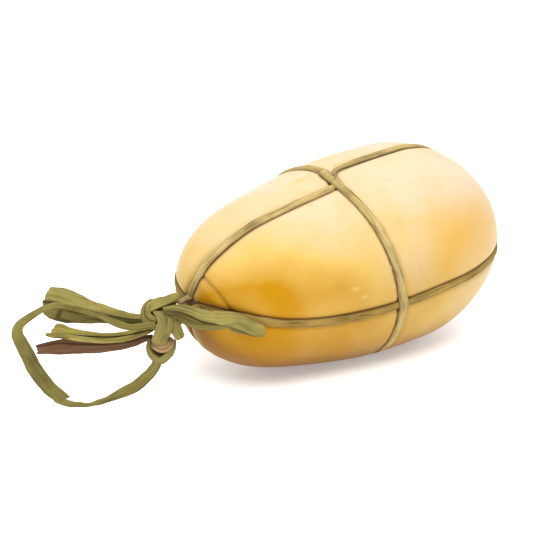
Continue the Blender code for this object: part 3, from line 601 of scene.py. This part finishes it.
def add_strip(skin, path, normal, half_width, height, under, seed, tint=0.0, painted_shade_edge=0,
              painted_shade_dots=()):
    """Add a flat pleated strip carried along a path.

    Round the section, a point lies half_width times the cosine of its turn to the side, and
    over the path by height times the 0.7th power of the sine, or by under below it. Two folds
    wander along the strip and fade in and out, with painted shade in them. One edge, on the side
    that the dark edge setting's sign picks, is darkened with painted shade, and both side edges are
    paler, a painted highlight. Each dark dot of painted shade is given as a length along, a turn and a reach.
    """
    along = unit(np.gradient(path, axis=0))
    normal = unit(normal - np.sum(normal * along, axis=-1, keepdims=True) * along)
    across = np.cross(normal, along)
    distance = path_length(path)
    half_width, height, under = (np.broadcast_to(size, distance.shape)[:, None]
                                 for size in (half_width, height, under))

    def wave(step, number):
        """The strip's own waver of a step, by its number, as a column."""
        return waver(distance, step, seed + number)[:, None]

    turn = np.linspace(0.0, 2.0 * math.pi, SECTION, endpoint=False)[None, :]
    draws = np.random.default_rng(seed).uniform(-0.3, 0.3, 2)
    folds = 0.0
    for number, middle in enumerate((1.05 + draws[0], 2.2 + draws[1])):
        shown = np.clip(0.2 + 0.9 * wave(0.036, 30 + number), 0.0, 1.0)
        folds += shown * bump(wrapped(turn - middle - 0.55 * wave(0.055, 20 + number)), 0.13)
    ribs = np.sin(5.0 * turn + 2.0 * wave(0.07, 3))
    swell = 1.0 - 0.22 * folds + 0.02 * ribs
    edge = 1.0 + 0.10 * wave(0.023, 0) * np.where(np.cos(turn) > 0, 1, -1) + 0.06 * wave(0.011, 1)
    aside = half_width * np.cos(turn) * edge
    lifted = np.where(np.sin(turn) > 0, height * swell, under)
    lifted *= np.sign(np.sin(turn)) * np.abs(np.sin(turn)) ** 0.7
    ends = np.minimum(distance, distance[-1] - distance)[:, None] / (0.5 * half_width + 1e-9)
    closing = np.sqrt(np.clip(1.0 - (1.0 - np.clip(ends, 0.0, 1.0)) ** 2, 0.02, 1.0))
    rings = path[:, None, :] + (aside * closing)[..., None] * across[:, None, :]
    rings += (lifted * closing)[..., None] * normal[:, None, :]
    around = np.linspace(0.0, 1.0, SECTION + 1)[None, :] * (4.0 * half_width.mean())
    uv = np.stack(np.broadcast_arrays(distance[:, None], around), axis=-1)
    dark_turn = 0.0 if painted_shade_edge > 0 else math.pi
    # Painted shade in the folds, along one edge and at each dark dot.
    painted_shade = folds + 0.85 * abs(painted_shade_edge) * bump(wrapped(turn - dark_turn), 0.5)
    for place, angle, reach in painted_shade_dots:
        painted_shade += bump(distance - place, reach)[:, None] * bump(wrapped(turn - angle), 0.4)
    # Paler at both side edges, a painted highlight; the ribs are paler stripes.
    pale = 0.3 + 0.1 * ribs + 0.5 * bump(np.abs(np.cos(turn)) - 0.93, 0.08)
    tone = np.stack(np.broadcast_arrays(np.clip(painted_shade, 0.0, 1.0), np.clip(pale, 0.0, 1.0), tint),
                    axis=-1)
    skin.add_rings(rings, uv, tone)


def rind_route(strand, start, stations):
    """Length and angle of a lengthwise strand from a place near the tied pole to the broad pole."""
    length = np.linspace(start, LENGTH[-1], stations)
    return length, strand_angle(strand, length)


def lead_in(port, first, second):
    """A short curve from a knot to a strand's first point on the rind: a cubic with its slopes.

    It leaves the port towards the rind and meets the strand in the strand's own direction.
    """
    share = np.linspace(0.0, 1.0, LEAD_STATIONS, endpoint=False)[:, None]
    reach = np.linalg.norm(first - port)
    start_slope = unit(first - port) * reach
    end_slope = unit(second - first) * reach
    return ((2 * share ** 3 - 3 * share ** 2 + 1) * port
            + (share ** 3 - 2 * share ** 2 + share) * start_slope
            + (-2 * share ** 3 + 3 * share ** 2) * first
            + (share ** 3 - share ** 2) * end_slope)


def add_lengthwise(skin, first, second, pole_lift, seed, sizes):
    """Add a strand that goes out from the knot, over the broad pole and back to the knot."""
    stations = int(LENGTH[-1] / STATION_STEP)
    out = rind_route(first, LEAVE_LENGTHS[first], stations)
    back = rind_route(second, LEAVE_LENGTHS[second], stations)
    length = np.concatenate([out[0], back[0][::-1][1:]])
    angle = np.concatenate([out[1], back[1][::-1][1:]])
    sunk = groove(length, angle, sizes.groove_depth)
    over = pole_lift * bump(LENGTH[-1] - length, 6.0 * MM)
    path = rind_point(length, angle, over - sunk)
    normal = rind_normal(length, angle)
    ports = [UPPER_KNOT + MM * np.array(STRAND_PORTS[strand]) for strand in (first, second)]
    start = lead_in(ports[0], path[0], path[1])
    end = lead_in(ports[1], path[-1], path[-2])
    path = np.concatenate([start, path, end[::-1]])
    ends = LEAD_STATIONS
    normal = np.concatenate([normal[:1].repeat(ends, axis=0), normal, normal[-1:].repeat(ends, axis=0)])
    weight = np.pad(pressed(length, angle), ends)
    height = sizes.strand_height * (1.0 - (1.0 - PRESSED_SHARE) * weight)
    distance = path_length(path)
    half_width = 0.5 * sizes.strand_width * (1.0 + 0.10 * waver(distance, 0.05, seed))
    if first == "top":
        steps = np.interp(length, LENGTH, PLACE) / WIDEST_RADIUS - TOP_STEP_PLACE
        thin = 0.45 * bump(steps - 0.12, 0.16) * (np.arange(len(length)) < stations)
        half_width[ends:-ends] *= 1.0 - thin
    path[:, 2] = np.maximum(path[:, 2], FLOOR_GAP)
    # Painted shade along one edge of each strand.
    add_strip(skin, path, normal, half_width, height, UNDER, seed,
              painted_shade_edge=-1 if first == "top" else 1)


def add_girth(skin, sizes):
    """Add the strand round the girth, which rides up over the lengthwise ones.

    A short second ply lies on it at the hitch. The pinhole where the plies part is only a dark dot of painted
    shade, and both plies have painted shade along one edge.
    """
    stations = int(2.0 * math.pi * 0.9 * WIDEST_RADIUS / STATION_STEP)
    start = math.radians(205.0)
    angle = start + np.linspace(0.0, 2.0 * math.pi, stations)
    length = girth_length(angle)
    asides, _ = strand_asides(length, angle)
    bridge = sum(bump(aside, 3.0 * MM) for aside in asides)
    lift = bridge * (sizes.strand_height + GAP)
    path = rind_point(length, angle, lift - groove(length, angle, sizes.groove_depth))
    normal = rind_normal(length, angle)
    height = sizes.strand_height * (1.0 - (1.0 - PRESSED_SHARE) * pressed(length, angle))
    distance = path_length(path)
    hitch = bump(wrapped(angle - HITCH_ANGLE), math.radians(9.0))
    half_width = 0.56 * sizes.strand_width * (1.0 + 0.08 * waver(distance, 0.05, 21) + 0.30 * hitch)
    path[:, 2] = np.maximum(path[:, 2], FLOOR_GAP)
    painted_dot = (distance[np.argmax(hitch)] + 0.6 * MM, 0.9, 0.9 * MM)
    add_strip(skin, path, normal, half_width, height, UNDER, 21, painted_shade_edge=-1, painted_shade_dots=(painted_dot,))
    angle = HITCH_ANGLE + np.linspace(-PLY_SPAN, PLY_SPAN, 24)
    length = girth_length(angle) - PLY_ASIDE
    add_strip(skin, rind_point(length, angle, GAP), rind_normal(length, angle), PLY_HALF_WIDTH,
              PLY_HEIGHT, UNDER, 23, painted_shade_edge=-1, painted_shade_dots=((6.6 * MM, 0.9, 0.8 * MM),))


def front_way(rows):
    """World directions of ones given across, up and out of the knots' front."""
    return rows @ np.stack([FRONT_RIGHT, FRONT_UP, FRONT_OUT])


def front_place(rows):
    """World places of points given across, up and out of the knots' front, in mm."""
    return UPPER_KNOT + MM * front_way(rows)


def add_knot_strip(skin, rows, middle, seed, tint=0.0):
    """Add one strip of a knot, its flat side facing away from the knot's middle."""
    fine = smooth_rows(rows, 60)
    normal = unit(front_way(fine[:, :3] - np.asarray(middle)))
    thickness = fine[:, 4] * MM
    # Painted shade along one edge sets each strip apart from the next.
    add_strip(skin, front_place(fine[:, :3]), normal, fine[:, 3] * MM, thickness, thickness, seed,
              tint, painted_shade_edge=1)


def add_core(skin, core, seed, tint=0.0):
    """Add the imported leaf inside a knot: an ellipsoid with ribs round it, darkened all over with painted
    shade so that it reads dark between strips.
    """
    middle, half = core
    polar = np.linspace(0.02, math.pi - 0.02, 40)[:, None]
    turn = np.linspace(0.0, 2.0 * math.pi, 48, endpoint=False)[None, :]
    ribbed = 1.0 + 0.03 * np.sin(9.0 * turn + 3.0 * polar + seed)
    local = np.stack([-np.cos(polar) * np.ones_like(turn), np.sin(polar) * np.cos(turn),
                      np.sin(polar) * np.sin(turn)], axis=-1)
    rings = front_place(np.asarray(middle) + np.asarray(half) * local * ribbed[..., None])
    around = np.linspace(0.0, 2.0 * math.pi, 49)[None, :]
    uv = 5.0 * MM * np.stack(np.broadcast_arrays(polar, around), axis=-1)
    # Painted shade over the whole core.
    skin.add_rings(rings, uv, np.array([0.85, 0.1, tint]))


# ---- leaves

def add_leaf(skin, rows, thickness, seed, ragged=0.8, slant=0.0, rounded=0.0, wave=0.4, shade=0.0,
             ledge=None, painted_shade_spots=()):
    """Add a leaf: across each point of its route goes an arc of the leaf's width.

    A turn of 0 lays the leaf flat and 90 stands it on edge, and the cup is the arc's angle.
    Fine ribs run along it, two broad pleats wander over it, its edges wave, and its end is
    cut at a slant, rounded off and torn a little. The pleats' troughs carry painted shade and
    their crests and the edges a painted highlight. At a ledge, three places across and a
    height, one ply steps over the other, with painted shade along its edge and over the ply
    behind. Each dark spot of painted shade, standing in for a hole or for the shade under another
    leaf, is a share along, a place across, and reaches. A shade above 0 darkens the leaf with
    painted shade, and one below 0 makes it paler.
    """
    rows = np.asarray(rows) * np.array([MM, MM, MM, MM, 1.0, 1.0])
    rows[:, 4:] = np.radians(rows[:, 4:])
    fine = smooth_rows(rows, 500)
    path = fine[:, :3] + CENTRE * (1, 0, 0)
    length = path_length(path)
    share = np.linspace(0.0, 1.0, int(length[-1] / LEAF_STEP))[:, None]
    aside = np.linspace(-0.5, 0.5, LEAF_LINES)[None, :]
    torn = ragged * (0.5 + 0.5 * waver(aside, 0.36, seed)) + slant * (aside + 0.5)
    torn += rounded * (1.0 - np.sqrt(1.0 - 0.98 * (2.0 * aside) ** 2))
    where = share * (1.0 - torn * MM / length[-1]) * length[-1]
    along = unit(np.gradient(path, axis=0))
    depth_way = np.array([0.0, 1.0, 0.0])
    side = unit(depth_way - (along @ depth_way)[:, None] * along)
    turn = fine[:, 4:5]
    lying = np.cos(turn) * side + np.sin(turn) * np.cross(side, along)
    table = np.concatenate([path, lying, np.cross(along, lying), fine[:, 3:4], fine[:, 5:6]], axis=-1)
    read = np.stack([np.interp(where, length, column) for column in table.T], axis=-1)
    place, across, face = read[..., :3], read[..., 3:6], read[..., 6:9]
    width, bend = read[..., 9], read[..., 10]
    width = width * (1.0 + 0.05 * waver(where, 0.017, seed + 5) * np.sign(aside))
    arc = bend * aside
    over = width * np.sin(arc) / bend
    raised = width * (np.cos(arc) - 1.0) / bend
    spot = aside * width
    drift = 0.9 * waver(where, 0.027, seed + 7)
    ribs = np.sin(2.0 * math.pi * spot / (1.1 * MM) + drift)
    broad = waver(spot + 1.5 * MM * waver(where, 0.045, seed + 8), 8.0 * MM, seed + 6)
    raised += 0.015 * MM * ribs + 0.35 * MM * broad
    raised += wave * MM * waver(where + 0.4 * spot, 0.021, seed + 9) * (2.0 * aside) ** 2
    # Painted shade along a ledge's edge, over the ply behind it, and at the dark spots.
    painted_ply_shade = 0.0
    if ledge:
        line = np.interp(share, (0.0, 0.5, 1.0), ledge[:3]) + 0.03 * waver(where, 0.04, seed + 11)
        behind = math.copysign(1.0, ledge[3]) * (aside - line)
        raised += abs(ledge[3]) * MM * (step_up(behind / 0.012) - 0.5)
        painted_ply_shade = 0.95 * bump(behind - 0.045, 0.055) + 0.45 * step_up(behind / 0.012)
    for place_along, place_across, reach_along, reach_across in painted_shade_spots:
        painted_ply_shade += (bump(where - place_along * length[-1], reach_along * MM)
                   * bump(aside - place_across, reach_across))
    sheet = place + over[..., None] * across + raised[..., None] * face
    normal = unit(np.cross(np.gradient(sheet, axis=0), np.gradient(sheet, axis=1)))
    half = 0.5 * thickness * (0.45 + 0.55 * np.sqrt(np.clip(1.0 - (2.0 * aside) ** 4, 0.0, 1.0)))
    half = np.broadcast_to(half[..., None], normal.shape)
    rings = np.concatenate([(sheet + half * normal)[:, ::-1], sheet - half * normal], axis=1)
    rings[..., 2] = np.maximum(rings[..., 2], 0.05 * MM)
    # Painted shade in the pleats' troughs, at ledges and spots, and from the leaf's shade; painted highlight
    # on the crests and edges. A shade below 0 makes the whole leaf paler.
    painted_shade = 0.35 * bump(broad + 0.9, 0.3) + painted_ply_shade + max(shade, 0.0)
    pale = 0.25 * bump(broad - 0.8, 0.4) + max(-shade, 0.0) + 0.8 * bump(np.abs(aside) - 0.5, 0.02)
    tone = np.stack(np.broadcast_arrays(np.clip(painted_shade, 0.0, 1.0), np.clip(pale, 0.0, 1.0), 0.0),
                    axis=-1)
    tone = np.concatenate([tone[:, ::-1], tone], axis=1)
    flat_uv = np.stack(np.broadcast_arrays(where, spot), axis=-1)
    uv = np.concatenate([flat_uv[:, ::-1], flat_uv, flat_uv[:, -1:]], axis=1)
    skin.add_rings(rings, uv, tone)


# ---- materials

def add_node(tree, kind, settings=None, links=None):
    """Add a node, give it its settings, and link other nodes' sockets into its inputs."""
    node = tree.nodes.new(kind)
    for key, value in (settings or {}).items():
        if isinstance(key, int) or key in node.inputs:
            node.inputs[key].default_value = value
        else:
            setattr(node, key, value)
    for key, socket in (links or {}).items():
        tree.links.new(socket, node.inputs[key])
    return node


def new_material(name):
    """An empty node material and its tree."""
    made = bpy.data.materials.new(name)
    made.use_nodes = True
    made.node_tree.nodes.clear()
    return made, made.node_tree


def mix_colour(tree, share, first, second):
    """Mix two colours, each given as a socket or as a constant."""
    settings, links = {"data_type": "RGBA"}, {}
    for key, value in ((0, share), (6, first), (7, second)):
        if isinstance(value, bpy.types.NodeSocket):
            links[key] = value
        else:
            settings[key] = value
    return add_node(tree, "ShaderNodeMix", settings, links).outputs[2]


def scaled(tree, socket, factor, offset):
    """The socket's value times a factor, plus an offset, kept between 0 and 1."""
    return add_node(tree, "ShaderNodeMath", {"operation": "MULTIPLY_ADD", "use_clamp": True,
                                             1: factor, 2: offset}, {0: socket}).outputs[0]


def rind_material(colours):
    """Salted, air-dried rind of stretched curd: smooth and waxy, and light goes into it.

    Light entering the curd softens its shading, and a dull gloss lies on top.
    """
    made, tree = new_material("dried_curd_rind")
    tone = add_node(tree, "ShaderNodeAttribute", {"attribute_name": "tone"})
    shares = add_node(tree, "ShaderNodeSeparateColor", {}, {"Color": tone.outputs["Color"]})
    place = add_node(tree, "ShaderNodeTexCoord").outputs["Object"]
    cloud = add_node(tree, "ShaderNodeTexNoise", {"Scale": 1.0 / 0.035, "Detail": 3.0}, {"Vector": place})
    fleck = add_node(tree, "ShaderNodeTexNoise", {"Scale": 1.0 / 0.006, "Detail": 4.0}, {"Vector": place})
    uneven = add_node(tree, "ShaderNodeMath", {"operation": "MULTIPLY_ADD", 1: 0.8, 2: -0.40},
                      {0: cloud.outputs["Fac"]}).outputs[0]
    gold = add_node(tree, "ShaderNodeMath", {"operation": "ADD", "use_clamp": True},
                    {0: shares.outputs["Red"], 1: uneven}).outputs[0]
    colour = mix_colour(tree, scaled(tree, gold, 2.0, 0.0), colours.rind_pale[:], colours.rind_yellow[:])
    colour = mix_colour(tree, scaled(tree, gold, 2.0, -1.0), colour, colours.rind_gold[:])
    colour = mix_colour(tree, shares.outputs["Blue"], colour, colours.rind_peach[:])
    specks = scaled(tree, fleck.outputs["Fac"], 1.0, -0.58)
    colour = mix_colour(tree, specks, colour, colours.rind_peach[:])
    # Painted shade: the second share of the tone darkens the rind towards the shade colour.
    colour = mix_colour(tree, shares.outputs["Green"], colour, colours.rind_painted_shade[:])
    rough = add_node(tree, "ShaderNodeMapRange", {"To Min": 0.36, "To Max": 0.50},
                     {"Value": fleck.outputs["Fac"]})
    grain = add_node(tree, "ShaderNodeTexNoise", {"Scale": 1.0 / 0.0016, "Detail": 3.0}, {"Vector": place})
    height = add_node(tree, "ShaderNodeBump", {"Strength": 0.35, "Distance": 0.00006},
                      {"Height": grain.outputs["Fac"]})
    shader = add_node(tree, "ShaderNodeBsdfPrincipled",
                      {"IOR": 1.45, "Specular IOR Level": 0.12, "Subsurface Weight": 0.3,
                       "Subsurface Scale": 0.004, "Subsurface Radius": (1.0, 0.75, 0.35)},
                      {"Base Color": colour, "Roughness": rough.outputs["Result"],
                       "Normal": height.outputs["Normal"]})
    add_node(tree, "ShaderNodeOutputMaterial", {}, {"Surface": shader.outputs["BSDF"]})
    return made


def leaf_material(name, colours, body_colour, pale):
    """Dried rush leaf, split and wetted to tie with: matt, with fibres along its length.

    Fibres 0.7 mm apart, drawn coarser than the real ones so that they show.
    """
    made, tree = new_material(name)
    tone = add_node(tree, "ShaderNodeAttribute", {"attribute_name": "tone"})
    shares = add_node(tree, "ShaderNodeSeparateColor", {}, {"Color": tone.outputs["Color"]})
    strip = add_node(tree, "ShaderNodeUVMap", {"uv_map": "strip"})
    lengthened = add_node(tree, "ShaderNodeMapping", {"Scale": (1.0 / 0.020, 1.0 / 0.0007, 1.0)},
                          {"Vector": strip.outputs["UV"]})
    fibres = add_node(tree, "ShaderNodeTexNoise", {"Scale": 1.0, "Detail": 2.5, "Roughness": 0.6},
                      {"Vector": lengthened.outputs["Vector"]})
    place = add_node(tree, "ShaderNodeTexCoord").outputs["Object"]
    cloud = add_node(tree, "ShaderNodeTexNoise", {"Scale": 1.0 / 0.014, "Detail": 3.0}, {"Vector": place})
    colour = mix_colour(tree, shares.outputs["Blue"], body_colour, colours.leaf_rose[:])
    colour = mix_colour(tree, scaled(tree, cloud.outputs["Fac"], 2.2, -0.88), colour, colours.leaf_dark[:])
    colour = mix_colour(tree, scaled(tree, fibres.outputs["Fac"], 1.0, -0.36), colour, pale)
    # The second share of the tone: painted highlight on edges and crests, and paler ribs.
    pale_and_highlight_share = scaled(tree, shares.outputs["Green"], 0.34, 0.0)
    colour = mix_colour(tree, pale_and_highlight_share, colour, pale)
    # Painted shade: the first share of the tone darkens towards the dark leaf colour.
    colour = mix_colour(tree, scaled(tree, shares.outputs["Red"], 0.8, 0.0), colour, colours.leaf_dark[:])
    height = add_node(tree, "ShaderNodeBump", {"Strength": 0.4, "Distance": 0.00016},
                      {"Height": fibres.outputs["Fac"]})
    shader = add_node(tree, "ShaderNodeBsdfPrincipled",
                      {"IOR": 1.45, "Roughness": 0.7, "Specular IOR Level": 0.1},
                      {"Base Color": colour, "Normal": height.outputs["Normal"]})
    add_node(tree, "ShaderNodeOutputMaterial", {}, {"Surface": shader.outputs["BSDF"]})
    return made


def floor_material():
    """Matt white laminate sweep, a plain photographic table."""
    made, tree = new_material("white_laminate")
    shader = add_node(tree, "ShaderNodeBsdfPrincipled",
                      {"Base Color": linear_colour("#F4F4F3"), "Roughness": 0.85,
                       "Specular IOR Level": 0.1, "Emission Color": (1.0, 1.0, 1.0, 1.0),
                       "Emission Strength": 0.27})
    add_node(tree, "ShaderNodeOutputMaterial", {}, {"Surface": shader.outputs["BSDF"]})
    return made


def shared_leaf(name):
    """The dried leaf material of a kind, made once."""
    found = bpy.data.materials.get(name)
    if found:
        return found
    colours = bpy.context.scene.provola_colours
    body, pale = {"green_rush": (colours.leaf_green, colours.leaf_pale),
                  "straw_rush": (colours.leaf_straw, colours.leaf_tan),
                  # The side strands get a darker copy of the strand colour: painted shade.
                  "side_shaded_rush": (colours.leaf_side_shade, colours.leaf_straw),
                  "yellow_rush": (colours.leaf_yellow, colours.leaf_pale),
                  "brown_rush": (colours.leaf_brown, colours.leaf_rose)}[name]
    return leaf_material(name, colours, body[:], pale[:])


# ---- operators

class PROVOLA_OT_rind(bpy.types.Operator):
    """Make the cheese with its grooves, closing fold and uneven rind"""
    bl_idname = "provola.rind"
    bl_label = "Cheese"

    def execute(self, context):
        sizes = context.scene.provola_sizes
        even = np.linspace(0.0, 1.0, RIND_ROWS)[:, None]
        length = POLE_HOLE + (LENGTH[-1] - 2.0 * POLE_HOLE) * even * (1.0 - 0.35 * (1.0 - even))
        angle = np.linspace(0.0, 2.0 * math.pi, RIND_COLUMNS, endpoint=False)[None, :]
        length, angle = np.broadcast_arrays(length, angle)
        rings = rind_point(length, angle, rind_relief(length, angle, sizes))
        rings[..., 2] = np.maximum(rings[..., 2], 0.0)
        around = np.linspace(0.0, 2.0 * math.pi * WIDEST_RADIUS, RIND_COLUMNS + 1)[None, :]
        uv = np.stack(np.broadcast_arrays(length[:, :1], around), axis=-1)
        skin = Skin()
        skin.add_rings(rings, uv, rind_tones(length, angle))
        skin.make("cheese_rind", rind_material(context.scene.provola_colours), ["cheese"])
        return {"FINISHED"}


class PROVOLA_OT_strands(bpy.types.Operator):
    """Make the two lengthwise strands and the girth strand"""
    bl_idname = "provola.strands"
    bl_label = "Strands"

    def execute(self, context):
        sizes = context.scene.provola_sizes
        material = shared_leaf("straw_rush")
        skin = Skin()
        add_lengthwise(skin, "top", "under", 0.0, 31, sizes)
        skin.make("strand_top_under_leaf", material, ["strand_top_under"])
        skin = Skin()
        add_lengthwise(skin, "near", "far", sizes.strand_height, 47, sizes)
        # The side strands get the darker, painted shade copy of the strand material.
        skin.make("strand_near_far_leaf", shared_leaf("side_shaded_rush"), ["strand_near_far"])
        skin = Skin()
        add_girth(skin, sizes)
        skin.make("girth_leaf", material, ["girth"])
        return {"FINISHED"}


class PROVOLA_OT_knots(bpy.types.Operator):
    """Make the upper and the lower knot, strip by strip"""
    bl_idname = "provola.knots"
    bl_label = "Knots"

    def execute(self, context):
        material = shared_leaf("green_rush")
        skin = Skin()
        add_core(skin, UPPER_CORE, 1)
        for seed, (name, rows) in enumerate(UPPER_STRIPS.items(), start=60):
            middle = (-1.0, -8.0, -3.0) if name == "front_band" else UPPER_CORE[0]
            add_knot_strip(skin, rows, middle, seed)
        skin.make("knot_upper_leaf", material, ["knot_upper"])
        skin = Skin()
        add_core(skin, LOWER_CORE, 2, 0.5)
        for seed, (name, rows) in enumerate(LOWER_STRIPS.items(), start=80):
            add_knot_strip(skin, rows, LOWER_CORE[0], seed, 0.9 if name == "inner" else 0.1)
        skin.make("knot_lower_leaf", material, ["knot_lower"])
        return {"FINISHED"}


def make_leaves(node, material, slot, *leaves):
    """Make the piece for a node from its leaves, each a route, a seed and its settings."""
    skin = Skin()
    thickness = bpy.context.scene.provola_sizes.leaf_thickness
    for rows, seed, settings in leaves:
        add_leaf(skin, rows, thickness, seed, **settings)
    skin.make(node + "_leaf", shared_leaf(material), [node])


class PROVOLA_OT_leaf_ends(bpy.types.Operator):
    """Make the four loose leaf ends"""
    bl_idname = "provola.leaf_ends"
    bl_label = "Leaf ends"

    def execute(self, context):
        # Ledges and dark spots paint shade under plies, in holes and under other leaves.
        make_leaves("tail_front", "green_rush", "green_leaf", (TAIL_FRONT, 101, {
            "slant": -2.0, "rounded": 1.0, "shade": -0.2, "ledge": (-0.25, 0.02, 0.42, 1.5)}))
        make_leaves("tail_wide", "green_rush", "green_leaf", (TAIL_WIDE, 111, {
            "rounded": 4.0, "wave": 0.7, "shade": -0.35, "ledge": (0.1, 0.02, 0.0, -1.6),
            "painted_shade_spots": ((0.80, -0.27, 1.1, 0.13), (0.72, -0.44, 3.5, 0.07), (0.3, -0.25, 12.0, 0.12))}))
        make_leaves("tail_split", "yellow_rush", "yellow_leaf", (TAIL_SPLIT, 121, {
            "slant": 4.0, "shade": -0.2, "ledge": (0.0, 0.05, -0.2, -1.0),
            "painted_shade_spots": ((0.45, -0.1, 13.0, 0.12),)}), (SPLIT_TIP, 125, {"shade": -0.4}))
        make_leaves("tail_brown", "brown_rush", "brown_leaf", (TAIL_BROWN, 131, {
            "shade": -0.6, "ledge": (0.0, 0.05, 0.2, 0.8)}))
        return {"FINISHED"}


class PROVOLA_OT_hanging_loop(bpy.types.Operator):
    """Make the loop of leaf that the cheese hangs by"""
    bl_idname = "provola.hanging_loop"
    bl_label = "Hanging loop"

    def execute(self, context):
        # The loop's shade settings above 0 are painted shade.
        make_leaves("hanging_loop", "green_rush", "green_leaf", (HANGING_LOOP, 141, {
            "ragged": 0.3, "slant": 4.0, "wave": 0.2, "shade": 0.30}), (LOOP_FOLDED, 145, {
                "ragged": 0.3, "wave": 0.2, "shade": 0.12}))
        return {"FINISHED"}


def add_aimed(name, data, place, aim):
    """Add a lamp or a camera that looks from its place at its aim."""
    made = bpy.data.objects.new(name, data)
    made.location = place
    made.rotation_euler = (Vector(aim) - Vector(place)).to_track_quat("-Z", "Y").to_euler()
    bpy.context.scene.collection.objects.link(made)
    return made


class PROVOLA_OT_stage(bpy.types.Operator):
    """Make the white floor, the soft lights and the camera"""
    bl_idname = "provola.stage"
    bl_label = "Stage"

    def execute(self, context):
        scene = context.scene
        lights = scene.provola_lights
        half = 0.5 * FLOOR_SIZE
        mesh = bpy.data.meshes.new("floor")
        mesh.from_pydata([(-half, -half, 0.0), (half, -half, 0.0), (half, half, 0.0), (-half, half, 0.0)],
                         [], [(0, 1, 2, 3)])
        mesh.materials.append(floor_material())
        floor = bpy.data.objects.new("floor", mesh)
        scene.collection.objects.link(floor)
        world = bpy.data.worlds.new("white_room")
        world.use_nodes = True
        tree = world.node_tree
        room = tree.nodes["Background"].inputs
        room["Color"].default_value = (1.0, 1.0, 1.0, 1.0)
        view = add_node(tree, "ShaderNodeTexCoord").outputs["Generated"]
        back = add_node(tree, "ShaderNodeVectorMath", {"operation": "DOT_PRODUCT", 1: BRIGHT_SIDE}, {0: view})
        bright = add_node(tree, "ShaderNodeMath", {"operation": "MULTIPLY_ADD", 1: ROOM_SLOPE * lights.room,
                                                   2: lights.room}, {0: back.outputs["Value"]})
        tree.links.new(bright.outputs[0], room["Strength"])
        scene.world = world
        lamp = bpy.data.lights.new("overhead_softbox", "AREA")
        lamp.shape = "DISK"
        lamp.size = SOFTBOX_SIZE
        lamp.energy = lights.overhead
        add_aimed("overhead_softbox", lamp, SOFTBOX_PLACE, SOFTBOX_AIM)
        camera = bpy.data.cameras.new("camera")
        camera.lens = CAMERA_LENS
        scene.camera = add_aimed("camera", camera, CAMERA_PLACE, CAMERA_AIM)
        scene.view_settings.view_transform = "Standard"
        return {"FINISHED"}


class PROVOLA_PT_sidebar(bpy.types.Panel):
    """Settings and steps of the provola"""
    bl_idname = "PROVOLA_PT_sidebar"
    bl_label = "Provola"
    bl_space_type = "VIEW_3D"
    bl_region_type = "UI"
    bl_category = "Provola"

    def draw(self, context):
        scene = context.scene
        for settings in (scene.provola_sizes, scene.provola_colours, scene.provola_lights):
            box = self.layout.box()
            for name in settings.__annotations__:
                box.prop(settings, name)
        for operator in OPERATORS:
            self.layout.operator(operator.bl_idname)


OPERATORS = (PROVOLA_OT_stage, PROVOLA_OT_rind, PROVOLA_OT_strands, PROVOLA_OT_knots,
             PROVOLA_OT_leaf_ends, PROVOLA_OT_hanging_loop)
SETTINGS = {"provola_sizes": ProvolaSizes, "provola_colours": ProvolaColours,
            "provola_lights": ProvolaLights}


def register():
    """Register the settings, the operators and the panel."""
    for name, group in SETTINGS.items():
        bpy.utils.register_class(group)
        setattr(bpy.types.Scene, name, PointerProperty(type=group))
    for kind in (*OPERATORS, PROVOLA_PT_sidebar):
        bpy.utils.register_class(kind)


def unregister():
    """Take back what register added."""
    for kind in (PROVOLA_PT_sidebar, *reversed(OPERATORS)):
        bpy.utils.unregister_class(kind)
    for name, group in reversed(SETTINGS.items()):
        delattr(bpy.types.Scene, name)
        bpy.utils.unregister_class(group)


def main():
    """Register the add-on, then make the stage and every piece."""
    register()
    bpy.ops.provola.stage()
    bpy.ops.provola.rind()
    bpy.ops.provola.strands()
    bpy.ops.provola.knots()
    bpy.ops.provola.leaf_ends()
    bpy.ops.provola.hanging_loop()


if __name__ == "__main__":
    main()
